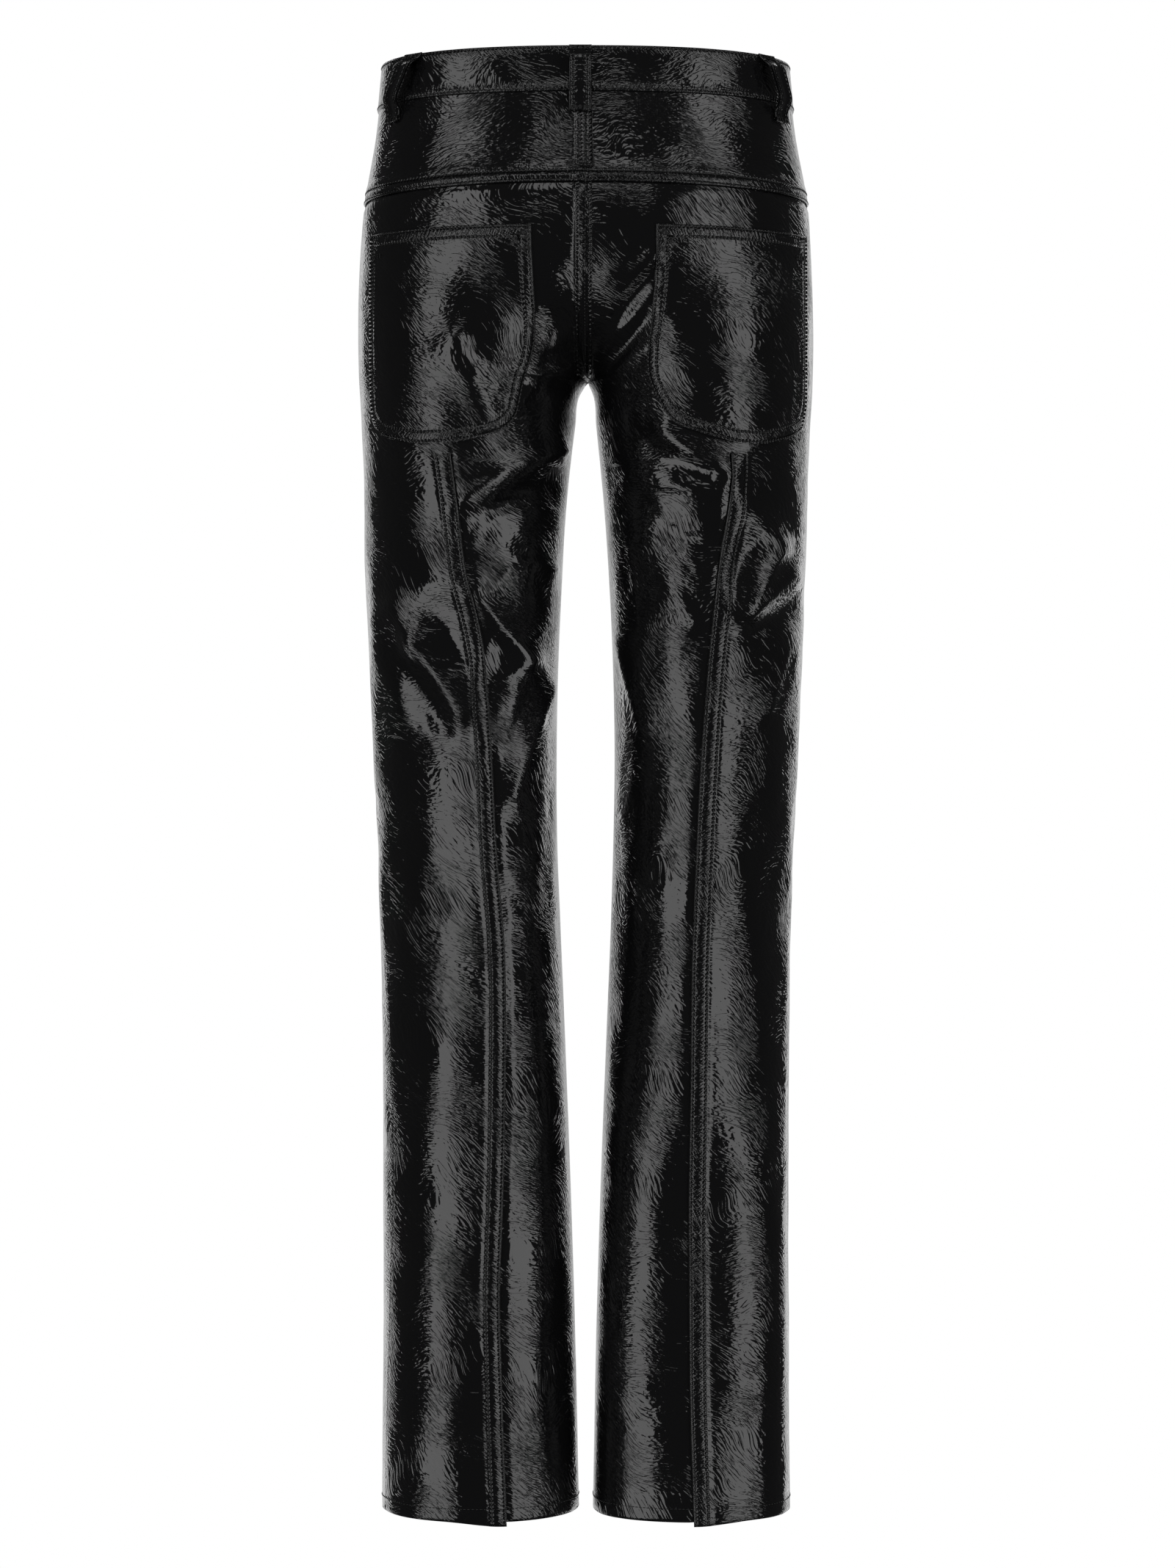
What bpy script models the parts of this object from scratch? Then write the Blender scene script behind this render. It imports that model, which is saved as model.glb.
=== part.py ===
"""Black vinyl trousers, filled out as if worn, hanging from the waist.

Metres, +Z up. The origin is the centre of the waist opening, level with the waistband's top
edge. The wearer faces -Y and the wearer's left is +X. Every piece of cloth is a wall lofted
through half-sections of one body form. A place on that form is given by its side (+1 for the
wearer's left, -1 for the right), its turn (-1 at centre front or inseam, 0 at the side, 1 at
centre back or inseam again) and its drop below the waist.
"""

import math
from collections import namedtuple

import bmesh
import bpy
import numpy as np
from mathutils import Vector

# Cloth
WALL = 0.0016  # coated cloth with its backing
SEAM_GAP = 0.0003  # between two pieces sewn edge to edge
LAP_LIFT = WALL + 0.0004  # how far a lapped edge stands over what it covers
LAP_WIDTH = 0.0110  # cloth that lies under a lapped edge
LAP_STEP = 0.0035  # width of the slope from the lapped band down to the panel

# Heights, measured down from the waist
BAND_HEIGHT = 0.033
YOKE_DROP = 0.098  # yoke's lower edge at centre back
YOKE_SIDE_DIP = 0.003  # how much lower it is at the side
FORK_START = 0.143  # where the seat starts to part into two legs
CROTCH_DROP = 0.228
PART_START = 0.105  # away from the centre seam the hip turns into the leg over this stretch
PART_END = 0.262
PART_POWER = 4.0  # how narrow the crotch seam's own U is
POCKET_TOP = 0.128
POCKET_BOTTOM = 0.2795
SLIT_ROOT = 0.2850  # the back leg's seam starts here, just under the pocket
HEM_DROP = 1.042
VENT_HANG = 0.003  # how far the vent's outer corner hangs below the hem
VENT_HANG_REACH = 0.045

# Rows and columns of points, as drops and counts
FRONT_COLUMNS = 11
FRONT_HIP_ROWS = (0.062, 0.090, 0.118)
FRONT_THIGH_ROWS = (0.236, 0.250, 0.270)
FRONT_LEG_START = 0.292
BACK_UNDER_YOKE = 0.010  # how far the back panel reaches up under the yoke
BACK_SEAT_ROWS = (0.100, 0.114)
BACK_POCKET_ROWS = (0.236, 0.249, 0.260, 0.268, 0.2745)
BACK_THIGH_ROWS = (0.297, 0.309)
BACK_LEG_START = 0.327
BACK_COLUMNS = 7  # on each side of the leg seam
FORK_STEPS = 6
LEG_ROW_STEP = 0.0205  # down to the knee, where it folds
KNEE_DROP = 0.56
SHIN_START_STEP = 0.026
SHIN_ROWS = 16
YOKE_ROW_STEP = 0.017
TUCKED_SHORT = 0.001  # an edge under a lap stops this far short of it
SLIT_INSIDE = 0.006  # first full column inside the slit
HALVINGS = 40
TINY = 1e-6

# Waistband
BAND_PROUD = 0.0010  # its outside stands out from the panels
BAND_WALL = 0.0028
BAND_UNDERLAP = 0.035
BAND_OVERLAP = 0.004
BAND_TUCK = BAND_WALL + 0.0004  # how far in the underlap lies
BAND_TUCKED_LEFT = (BAND_UNDERLAP, 0.022, 0.009)  # its columns, as distances from the middle
BAND_TUCKED_RIGHT = (0.0010, 0.009)
BAND_RIGHT_START = -0.80  # turns at which the visible strip starts and ends
BAND_LEFT_END = -0.95
BAND_RIGHT_COLUMNS = 26
BAND_LEFT_COLUMNS = 28
BAND_ROWS = 4

# Centre back's felled seam, raised on the wearer's left
FELL_RAISE = 0.0011
FELL_TURN = 0.980
FELL_FOOT_TURN = 0.974

POCKET_GAP = 0.0005
POCKET_CORNER_GAP = 0.0016  # where the rounded corners cut across the panel's folds
HIP_POWER = 0.88  # below 1 squares the hip's section a little
HIP_HALF_WIDTH = 0.160
STEP = 0.0015  # small step for slopes

Section = namedtuple("Section", "drop left_out left_in right_out right_in back front")
SECTIONS = [
    Section(0.000, 0.1480, 0.0002, 0.1454, 0.0002, 0.0960, 0.0960),
    Section(0.050, 0.1531, 0.0002, 0.1504, 0.0002, 0.1020, 0.1010),
    Section(0.100, 0.1613, 0.0002, 0.1592, 0.0002, 0.1120, 0.1030),
    Section(0.150, 0.1651, 0.0002, 0.1624, 0.0002, 0.1180, 0.1010),
    Section(0.200, 0.1661, 0.0002, 0.1635, 0.0002, 0.1160, 0.0965),
    Section(0.228, 0.1656, 0.0004, 0.1629, 0.0004, 0.1100, 0.0945),
    Section(0.236, 0.1652, 0.0052, 0.1626, 0.0038, 0.1080, 0.0940),
    Section(0.260, 0.1639, 0.0088, 0.1611, 0.0063, 0.1030, 0.0925),
    Section(0.320, 0.1622, 0.0154, 0.1595, 0.0121, 0.0960, 0.0890),
    Section(0.380, 0.1603, 0.0188, 0.1575, 0.0161, 0.0900, 0.0850),
    Section(0.440, 0.1576, 0.0213, 0.1549, 0.0186, 0.0840, 0.0810),
    Section(0.500, 0.1547, 0.0223, 0.1520, 0.0196, 0.0790, 0.0780),
    Section(0.560, 0.1517, 0.0219, 0.1494, 0.0187, 0.0750, 0.0760),
    Section(0.620, 0.1501, 0.0196, 0.1474, 0.0169, 0.0725, 0.0745),
    Section(0.700, 0.1486, 0.0163, 0.1459, 0.0137, 0.0715, 0.0730),
    Section(0.800, 0.1480, 0.0125, 0.1454, 0.0098, 0.0715, 0.0720),
    Section(0.900, 0.1480, 0.0093, 0.1455, 0.0067, 0.0720, 0.0720),
    Section(1.050, 0.1486, 0.0059, 0.1464, 0.0037, 0.0730, 0.0730),
]

# Back of each leg: how far its fullest line leans from the leg's middle, away from the inseam,
# and how flat the section is there (below 1 is boxier, above 1 more pointed)
LegBack = namedtuple("LegBack", "drop left_lean left_power right_lean right_power")
LEG_BACKS = [
    LegBack(0.143, 0.0000, 1.00, 0.0000, 1.00),
    LegBack(0.340, 0.0000, 1.00, 0.0000, 1.00),
    LegBack(0.430, -0.0050, 1.02, -0.0010, 1.10),
    LegBack(0.515, -0.0110, 1.10, -0.0020, 1.24),
    LegBack(0.640, -0.0100, 1.15, -0.0020, 1.24),
    LegBack(0.720, -0.0110, 1.08, -0.0010, 1.02),
    LegBack(0.800, -0.0060, 1.06, 0.0000, 0.80),
    LegBack(0.870, -0.0020, 1.02, 0.0000, 0.72),
    LegBack(0.940, 0.0020, 0.98, 0.0000, 0.70),
    LegBack(1.050, 0.0010, 0.94, 0.0000, 0.74),
]

# Side seams, as a turn: above 0 they lie on the back
Outseam = namedtuple("Outseam", "drop left right")
OUTSEAMS = [
    Outseam(0.000, 0.00, 0.00),
    Outseam(0.300, 0.00, 0.00),
    Outseam(0.500, 0.00, 0.00),
    Outseam(0.560, 0.01, 0.00),
    Outseam(0.640, 0.08, 0.03),
    Outseam(0.740, 0.14, 0.05),
    Outseam(0.900, 0.13, 0.05),
    Outseam(1.050, 0.09, 0.04),
]

# Lapped edge of the back leg's seam and of the vent below it, as a distance from the middle
LegSeam = namedtuple("LegSeam", "drop left right")
LEG_SEAMS = [
    LegSeam(0.100, 0.1010, 0.1030),
    LegSeam(0.280, 0.0965, 0.1009),
    LegSeam(0.323, 0.0910, 0.0985),
    LegSeam(0.368, 0.0856, 0.0920),
    LegSeam(0.421, 0.0735, 0.0864),
    LegSeam(0.483, 0.0687, 0.0814),
    LegSeam(0.573, 0.0642, 0.0769),
    LegSeam(0.631, 0.0594, 0.0746),
    LegSeam(0.740, 0.0585, 0.0730),
    LegSeam(0.827, 0.0605, 0.0717),
    LegSeam(0.874, 0.0622, 0.0720),
    LegSeam(0.957, 0.0605, 0.0727),
    LegSeam(1.050, 0.0571, 0.0756),
]

# Edges of the back pockets, as distances from the middle
Pocket = namedtuple("Pocket", "drop left_inner left_outer right_inner right_outer")
POCKETS = [
    Pocket(0.128, 0.0389, 0.1539, 0.0472, 0.1555),
    Pocket(0.205, 0.0386, 0.1544, 0.0456, 0.1553),
    Pocket(0.232, 0.0435, 0.1543, 0.0438, 0.1551),
    Pocket(0.250, 0.0480, 0.1536, 0.0510, 0.1546),
    Pocket(0.260, 0.0512, 0.1522, 0.0570, 0.1530),
    Pocket(0.268, 0.0580, 0.1480, 0.0670, 0.1500),
    Pocket(0.2745, 0.0710, 0.1400, 0.0860, 0.1400),
    Pocket(0.2795, 0.0920, 0.1200, 0.1050, 0.1250),
]

# Ridges (height above 0) and troughs (below 0), from one end to the other
BACK, FRONT = 1, -1
LEFT, RIGHT = 1, -1
Fold = namedtuple("Fold", "side face x0 drop0 x1 drop1 width height")
FOLDS = [
    # wearer's left, back: the seat, the drag from the crotch, the star below it, the knee's break
    Fold(LEFT, BACK, 0.060, 0.150, 0.060, 0.195, 0.034, 0.0040),
    Fold(LEFT, BACK, 0.094, 0.212, 0.070, 0.262, 0.011, 0.0035),
    Fold(LEFT, BACK, 0.052, 0.235, 0.078, 0.214, 0.012, -0.0030),
    Fold(LEFT, BACK, 0.020, 0.281, 0.084, 0.318, 0.010, 0.0045),
    Fold(LEFT, BACK, 0.030, 0.310, 0.074, 0.338, 0.013, -0.0045),
    Fold(LEFT, BACK, 0.026, 0.366, 0.054, 0.368, 0.010, 0.0026),
    Fold(LEFT, BACK, 0.112, 0.350, 0.096, 0.388, 0.011, 0.0022),
    Fold(LEFT, BACK, 0.080, 0.386, 0.044, 0.429, 0.010, 0.0048),
    Fold(LEFT, BACK, 0.044, 0.434, 0.058, 0.466, 0.010, 0.0030),
    Fold(LEFT, BACK, 0.061, 0.424, 0.068, 0.448, 0.010, -0.0030),
    Fold(LEFT, BACK, 0.134, 0.394, 0.122, 0.420, 0.010, 0.0040),
    Fold(LEFT, BACK, 0.122, 0.420, 0.090, 0.466, 0.011, 0.0050),
    Fold(LEFT, BACK, 0.103, 0.396, 0.091, 0.430, 0.012, -0.0040),
    Fold(LEFT, BACK, 0.136, 0.424, 0.104, 0.478, 0.010, -0.0042),
    Fold(LEFT, BACK, 0.148, 0.405, 0.134, 0.470, 0.012, 0.0030),
    Fold(LEFT, BACK, 0.027, 0.450, 0.052, 0.524, 0.011, 0.0036),
    Fold(LEFT, BACK, 0.102, 0.700, 0.112, 0.770, 0.018, 0.0020),
    Fold(LEFT, BACK, 0.110, 0.860, 0.098, 0.960, 0.018, 0.0020),
    Fold(LEFT, BACK, 0.036, 0.820, 0.040, 0.960, 0.014, 0.0020),
    # wearer's right, back
    Fold(RIGHT, BACK, 0.058, 0.150, 0.058, 0.190, 0.034, 0.0045),
    Fold(RIGHT, BACK, 0.054, 0.272, 0.098, 0.302, 0.010, 0.0046),
    Fold(RIGHT, BACK, 0.036, 0.300, 0.092, 0.314, 0.010, 0.0040),
    Fold(RIGHT, BACK, 0.046, 0.284, 0.084, 0.304, 0.009, -0.0030),
    Fold(RIGHT, BACK, 0.058, 0.344, 0.086, 0.352, 0.011, -0.0038),
    Fold(RIGHT, BACK, 0.112, 0.326, 0.132, 0.350, 0.011, 0.0030),
    Fold(RIGHT, BACK, 0.134, 0.352, 0.110, 0.396, 0.010, 0.0044),
    Fold(RIGHT, BACK, 0.114, 0.350, 0.104, 0.374, 0.010, -0.0034),
    Fold(RIGHT, BACK, 0.114, 0.398, 0.146, 0.370, 0.010, 0.0042),
    Fold(RIGHT, BACK, 0.120, 0.412, 0.144, 0.396, 0.010, -0.0034),
    Fold(RIGHT, BACK, 0.012, 0.172, 0.044, 0.146, 0.007, 0.0025),
    Fold(RIGHT, BACK, 0.022, 0.190, 0.044, 0.164, 0.007, -0.0025),
    Fold(RIGHT, BACK, 0.140, 0.424, 0.128, 0.466, 0.012, 0.0026),
    Fold(RIGHT, BACK, 0.026, 0.420, 0.040, 0.478, 0.011, 0.0026),
    Fold(RIGHT, BACK, 0.034, 0.780, 0.030, 0.940, 0.022, 0.0022),
    Fold(RIGHT, BACK, 0.118, 0.780, 0.122, 0.940, 0.022, 0.0022),
    # fronts, hidden in the photograph: the same kinds of fold
    Fold(LEFT, FRONT, 0.012, 0.226, 0.070, 0.190, 0.012, 0.0035),
    Fold(LEFT, FRONT, 0.018, 0.246, 0.090, 0.226, 0.012, 0.0040),
    Fold(LEFT, FRONT, 0.024, 0.272, 0.080, 0.262, 0.011, -0.0030),
    Fold(LEFT, FRONT, 0.040, 0.500, 0.120, 0.520, 0.014, 0.0030),
    Fold(LEFT, FRONT, 0.050, 0.545, 0.110, 0.552, 0.013, -0.0025),
    Fold(LEFT, FRONT, 0.080, 0.640, 0.066, 0.760, 0.020, 0.0025),
    Fold(LEFT, FRONT, 0.100, 0.840, 0.088, 0.960, 0.018, 0.0025),
    Fold(RIGHT, FRONT, 0.012, 0.222, 0.074, 0.184, 0.012, 0.0035),
    Fold(RIGHT, FRONT, 0.018, 0.250, 0.086, 0.234, 0.012, 0.0040),
    Fold(RIGHT, FRONT, 0.026, 0.280, 0.088, 0.268, 0.011, -0.0030),
    Fold(RIGHT, FRONT, 0.036, 0.512, 0.108, 0.500, 0.014, 0.0030),
    Fold(RIGHT, FRONT, 0.060, 0.548, 0.120, 0.540, 0.013, -0.0025),
    Fold(RIGHT, FRONT, 0.074, 0.660, 0.086, 0.780, 0.020, 0.0025),
    Fold(RIGHT, FRONT, 0.060, 0.860, 0.072, 0.970, 0.018, 0.0025),
]
FOLD_FADE_SIDE = 0.16  # a fold dies out this near the side line, as a turn
FOLD_FADE_MIDDLE = 0.16

# The stiff seam down the back of each leg holds the cloth out as a long soft ridge
SeamRidge = namedtuple("SeamRidge", "drop left right")
SEAM_RIDGES = [
    SeamRidge(0.285, 0.0000, 0.0000),
    SeamRidge(0.400, 0.0006, 0.0010),
    SeamRidge(0.470, 0.0022, 0.0018),
    SeamRidge(0.600, 0.0024, 0.0020),
    SeamRidge(0.720, 0.0022, 0.0008),
    SeamRidge(0.800, 0.0016, 0.0002),
    SeamRidge(0.950, 0.0010, 0.0000),
    SeamRidge(1.050, 0.0008, 0.0000),
]
SEAM_RIDGE_MIDDLE = 0.006  # from the lapped edge
SEAM_RIDGE_WIDTH = 0.014

# Belt loops: the middle of the strap at the waist and 50 mm below it
Loop = namedtuple("Loop", "name side face x_top x_low stand_off")
LOOPS = [
    Loop("belt_loop_centre_back", LEFT, BACK, 0.0050, 0.0050, 0.0056),
    Loop("belt_loop_back_left", LEFT, BACK, 0.1215, 0.1400, 0.0074),
    Loop("belt_loop_back_right", RIGHT, BACK, 0.1250, 0.1385, 0.0074),
    Loop("belt_loop_front_left", LEFT, FRONT, 0.0850, 0.0870, 0.0064),
    Loop("belt_loop_front_right", RIGHT, FRONT, 0.0850, 0.0870, 0.0064),
]
LOOP_WIDTH = 0.0160
LOOP_WALL = 0.0018
LOOP_REFERENCE = 0.050
LOOP_GAP = 0.0004  # between the strap's feet and the cloth
LOOP_OVER_SEAM = 0.004  # it clears the band's lower edge by this much
# Strap from its upper foot on the band to its lower foot on the yoke: how far down, how much of
# the stand-off it has there
LoopStation = namedtuple("LoopStation", "drop share")
LOOP_STATIONS = [
    LoopStation(0.0004, 0.0),
    LoopStation(0.0040, 0.0),
    LoopStation(0.0085, 1.0),
    LoopStation(0.0210, 1.0),
    LoopStation(0.0320, 1.0),
    LoopStation(0.0415, 0.0),
    LoopStation(0.0475, 0.0),
]

BUTTON_RADIUS = 0.0085
BUTTON_THICKNESS = 0.0034
BUTTON_X = 0.016
BUTTON_BEVEL = 0.0009
BUTTON_OFF_BAND = 0.0005
BUTTON_CORNERS = 24
BUTTON_SHARP_DEGREES = 50


def along(table, column, drop):
    """Smooth curve through one column of a table, read at one drop or at many."""
    at = np.array([row.drop for row in table])
    value = np.array([getattr(row, column) for row in table])
    slope = np.gradient(value, at)
    i = np.clip(np.searchsorted(at, drop) - 1, 0, len(at) - 2)
    span = at[i + 1] - at[i]
    t = np.clip((drop - at[i]) / span, 0.0, 1.0)
    start = value[i] * (1 + 2 * t) * (1 - t) ** 2 + slope[i] * span * t * (1 - t) ** 2
    end = value[i + 1] * t * t * (3 - 2 * t) + slope[i + 1] * span * t * t * (t - 1)
    return start + end


def ease(t):
    t = np.clip(t, 0, 1)
    return t * t * (3 - 2 * t)


def who(side):
    return "left" if side > 0 else "right"


def body_form(side, turn, drop):
    """Points of the plain form: a half hip section that parts into a closed leg at the fork."""
    turn = np.clip(turn, -1.0, 1.0)
    drop = np.asarray(drop, float)
    out = along(SECTIONS, who(side) + "_out", drop)
    inner = along(SECTIONS, who(side) + "_in", drop)
    depth = np.where(turn > 0, along(SECTIONS, "back", drop), -along(SECTIONS, "front", drop))
    angle = np.abs(turn) * math.pi
    hip_x = out * np.clip(np.cos(angle / 2), 0, 1) ** HIP_POWER
    hip_y = depth * np.sin(angle / 2) ** HIP_POWER
    lean = np.where(turn > 0, along(LEG_BACKS, who(side) + "_lean", drop), 0.0)
    power = np.where(turn > 0, along(LEG_BACKS, who(side) + "_power", drop), 1.0)
    leg_x = (out + inner) / 2 + (out - inner) / 2 * np.cos(angle) + lean * np.sin(angle) ** 2
    leg_y = depth * np.clip(np.sin(angle), 0, 1) ** power
    share = np.clip((drop - FORK_START) / (CROTCH_DROP - FORK_START), 0, 1)
    at_middle = 1 - np.sqrt(1 - share**2)
    elsewhere = ease((drop - PART_START) / (PART_END - PART_START))
    parted = elsewhere + (at_middle - elsewhere) * np.abs(turn) ** PART_POWER
    x = hip_x + (leg_x - hip_x) * parted
    y = hip_y + (leg_y - hip_y) * parted
    return np.stack(np.broadcast_arrays(side * x, y, -drop), -1)


def outward(side, turn, drop):
    """Unit normals of the plain form."""
    turn, drop = np.broadcast_arrays(np.asarray(turn, float), np.asarray(drop, float))
    across = body_form(side, turn + STEP, drop) - body_form(side, turn - STEP, drop)
    down = body_form(side, turn, drop + STEP) - body_form(side, turn, np.maximum(drop - STEP, 0))
    normal = side * np.cross(down, across)
    return normal / np.linalg.norm(normal, axis=-1, keepdims=True)


def fold_height(side, turn, x, drop):
    """How far the folds move the cloth out of the plain form."""
    height = np.zeros(np.shape(x))
    for fold in FOLDS:
        if fold.side != side:
            continue
        run_x = fold.x1 - fold.x0
        run_drop = fold.drop1 - fold.drop0
        share = ((x - fold.x0) * run_x + (drop - fold.drop0) * run_drop) / (run_x**2 + run_drop**2)
        share = np.clip(share, 0, 1)
        away = np.hypot(x - fold.x0 - share * run_x, drop - fold.drop0 - share * run_drop)
        on_face = np.where(turn > 0, BACK, FRONT) == fold.face
        height = height + on_face * fold.height * np.exp(-((away / fold.width) ** 2))
    away = x - along(LEG_SEAMS, who(side), drop) - SEAM_RIDGE_MIDDLE
    ridge = along(SEAM_RIDGES, who(side), drop) * np.exp(-((away / SEAM_RIDGE_WIDTH) ** 2))
    height = height + np.where(turn > 0, ridge, 0.0)
    fade = ease(np.abs(turn) / FOLD_FADE_SIDE) * ease((1 - np.abs(turn)) / FOLD_FADE_MIDDLE)
    return height * fade


def skin(side, turn, drop, out=0.0):
    """Points of the folded cloth, moved out by a distance."""
    turn, drop, out = np.broadcast_arrays(
        np.asarray(turn, float), np.asarray(drop, float), np.asarray(out, float)
    )
    plain = body_form(side, turn, drop)
    lift = fold_height(side, turn, np.abs(plain[..., 0]), drop) + out
    return plain + outward(side, turn, drop) * lift[..., None]


def turn_at(side, face, x, drop):
    """The turn at which the plain form is this far from the middle, by halving."""
    low = np.zeros(np.shape(drop))
    high = np.ones(np.shape(drop))
    for _ in range(HALVINGS):
        middle = (low + high) / 2
        beyond = np.abs(body_form(side, face * middle, drop)[..., 0]) > x
        low = np.where(beyond, middle, low)
        high = np.where(beyond, high, middle)
    return face * (low + high) / 2


def fork_drops():
    """Levels evenly spaced along the U of the crotch seam."""
    height = CROTCH_DROP - FORK_START
    angles = [math.pi / 2 * k / FORK_STEPS for k in range(FORK_STEPS + 1)]
    return [FORK_START + height * math.sin(angle) for angle in angles]


def leg_drops(start):
    """Levels down the leg: close where it folds, wider apart below the knee."""
    folded = np.arange(start, KNEE_DROP, LEG_ROW_STEP)
    straight = np.linspace(folded[-1] + SHIN_START_STEP, HEM_DROP, SHIN_ROWS)
    return list(folded) + list(straight)


def clear_of_middle(side, points):
    """Keeps a half's points on its own side of the centre seam."""
    points[..., 0] = side * np.maximum(side * points[..., 0], SEAM_GAP / 2)
    return points


def draw_in(points, column, neighbour):
    """Moves one border column half a seam's gap into its panel."""
    towards = points[:, neighbour] - points[:, column]
    points[:, column] += towards / np.linalg.norm(towards, axis=-1, keepdims=True) * SEAM_GAP / 2


def grid_faces(rows, columns):
    """Quads of a grid whose points run along its rows."""
    faces = []
    for i in range(rows - 1):
        for j in range(columns - 1):
            a = i * columns + j
            faces.append((a, a + 1, a + columns + 1, a + columns))
    return faces


def make_wall(name, patches, material):
    """Closed wall from patches of matching outer and inner points that share their borders."""
    outer = []
    inner = []
    faces = []
    index = {}
    for outer_grid, inner_grid in patches:
        rows, columns = outer_grid.shape[:2]
        numbers = []
        pairs = zip(outer_grid.reshape(-1, 3), inner_grid.reshape(-1, 3))
        for outside, inside in pairs:
            key = tuple(np.round(outside, 6))
            if key not in index:
                index[key] = len(outer)
                outer.append(outside)
                inner.append(inside)
            numbers.append(index[key])
        for face in grid_faces(rows, columns):
            corners = list(dict.fromkeys(numbers[corner] for corner in face))
            if len(corners) > 2:
                faces.append(corners)
    count = len(outer)
    borders = {}
    for face in faces:
        for start, end in zip(face, face[1:] + face[:1]):
            borders[(start, end)] = True
    rims = [
        (end, start, start + count, end + count)
        for start, end in borders
        if (end, start) not in borders
    ]
    # starting at the same corner keeps both sides' diagonals alike, so the wall stays even
    lining = [[corner + count for corner in face[:1] + face[:0:-1]] for face in faces]
    mesh = bpy.data.meshes.new(name)
    mesh.from_pydata([Vector(p) for p in outer + inner], [], faces + lining + rims)
    shell = bmesh.new()
    shell.from_mesh(mesh)
    bmesh.ops.recalc_face_normals(shell, faces=shell.faces)
    shell.to_mesh(mesh)
    shell.free()
    mesh.shade_smooth()
    mesh.materials.append(material)
    return bpy.data.objects.new(name, mesh)


def vinyl(name, roughness):
    """Black crinkled vinyl with a wet shine."""
    material = bpy.data.materials.new(name)
    material.use_nodes = True
    shader = material.node_tree.nodes["Principled BSDF"]
    shader.inputs["Base Color"].default_value = (0.012, 0.012, 0.012, 1)
    shader.inputs["Roughness"].default_value = roughness
    shader.inputs["Metallic"].default_value = 0.0
    shader.inputs["Coat Weight"].default_value = 0.8
    return material


def dark_metal(name):
    """Dark, polished button metal."""
    material = bpy.data.materials.new(name)
    material.use_nodes = True
    shader = material.node_tree.nodes["Principled BSDF"]
    shader.inputs["Base Color"].default_value = (0.10, 0.10, 0.10, 1)
    shader.inputs["Roughness"].default_value = 0.3
    shader.inputs["Metallic"].default_value = 1.0
    return material


def front_panel(side):
    """Front leg from the waistband to the hem, from the centre and inseam to the side seam."""
    hip = [BAND_HEIGHT + SEAM_GAP, *FRONT_HIP_ROWS]
    thigh = [*FRONT_THIGH_ROWS, *leg_drops(FRONT_LEG_START)]
    drops = np.array(hip + fork_drops() + thigh)
    seam = along(OUTSEAMS, who(side), drops)
    shares = np.linspace(0, 1, FRONT_COLUMNS)
    turns = -1 + (seam[:, None] + 1) * shares[None, :]
    levels = np.broadcast_to(drops[:, None], turns.shape)
    outer = clear_of_middle(side, skin(side, turns, levels))
    inner = clear_of_middle(side, skin(side, turns, levels, -WALL))
    for points in (outer, inner):
        draw_in(points, 0, 1)
        draw_in(points, -1, -2)
    return make_wall("front_" + who(side), [(outer, inner)], vinyl("front_vinyl", 0.16))


def back_turns(side, drops):
    """Columns of the back: outside the leg seam, its lapped band, and inside it."""
    edge = along(LEG_SEAMS, who(side), drops)
    seam = along(OUTSEAMS, who(side), drops)
    foot = turn_at(side, BACK, edge + LAP_WIDTH + LAP_STEP, drops)
    band = turn_at(side, BACK, edge + LAP_WIDTH, drops)
    rim = turn_at(side, BACK, edge, drops)
    under = np.where(drops > SLIT_ROOT, turn_at(side, BACK, edge - SEAM_GAP, drops), rim)
    tucked = turn_at(side, BACK, edge + LAP_WIDTH - TUCKED_SHORT, drops)
    first_full_lap = drops[np.searchsorted(drops, SLIT_ROOT) + 2]
    under = np.where(drops >= first_full_lap - TINY, tucked, under)
    shares = np.linspace(0, 1, BACK_COLUMNS)
    outside = [seam + (foot - seam) * share for share in shares] + [band, rim]
    start = turn_at(side, BACK, edge - SLIT_INSIDE, drops)
    inside = [start + (FELL_FOOT_TURN - start) * share for share in shares]
    inside = [under] + inside + [np.full(len(drops), FELL_TURN), np.ones(len(drops))]
    return np.stack(outside, -1), np.stack(inside, -1)


def felled(side, turns, levels, first):
    """The raised fell beside the centre back seam, on the wearer's left."""
    beside = (turns >= FELL_TURN - TINY) & (levels < CROTCH_DROP) & (levels > first)
    return np.where(beside & (side == LEFT), FELL_RAISE, 0.0)


def yoke_edge(x):
    return YOKE_DROP + YOKE_SIDE_DIP * (x / HIP_HALF_WIDTH) ** 2


def back_grid(side):
    """Turns and drops of the back panel's two tongues, outside and inside the leg seam."""
    seat = [YOKE_DROP - BACK_UNDER_YOKE, *BACK_SEAT_ROWS, POCKET_TOP]
    thigh = [*BACK_POCKET_ROWS, POCKET_BOTTOM, SLIT_ROOT, *BACK_THIGH_ROWS]
    drops = np.array(seat + fork_drops() + thigh + leg_drops(BACK_LEG_START))
    outside, inside = back_turns(side, drops)
    grids = []
    for turns in (outside, inside):
        levels = np.repeat(drops[:, None], turns.shape[1], 1)
        x = np.abs(body_form(side, turns, levels)[..., 0])
        dip = (yoke_edge(x) - YOKE_DROP) * ease((POCKET_TOP - levels) / (POCKET_TOP - YOKE_DROP))
        grids.append((turns, levels + dip))
    return grids


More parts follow.
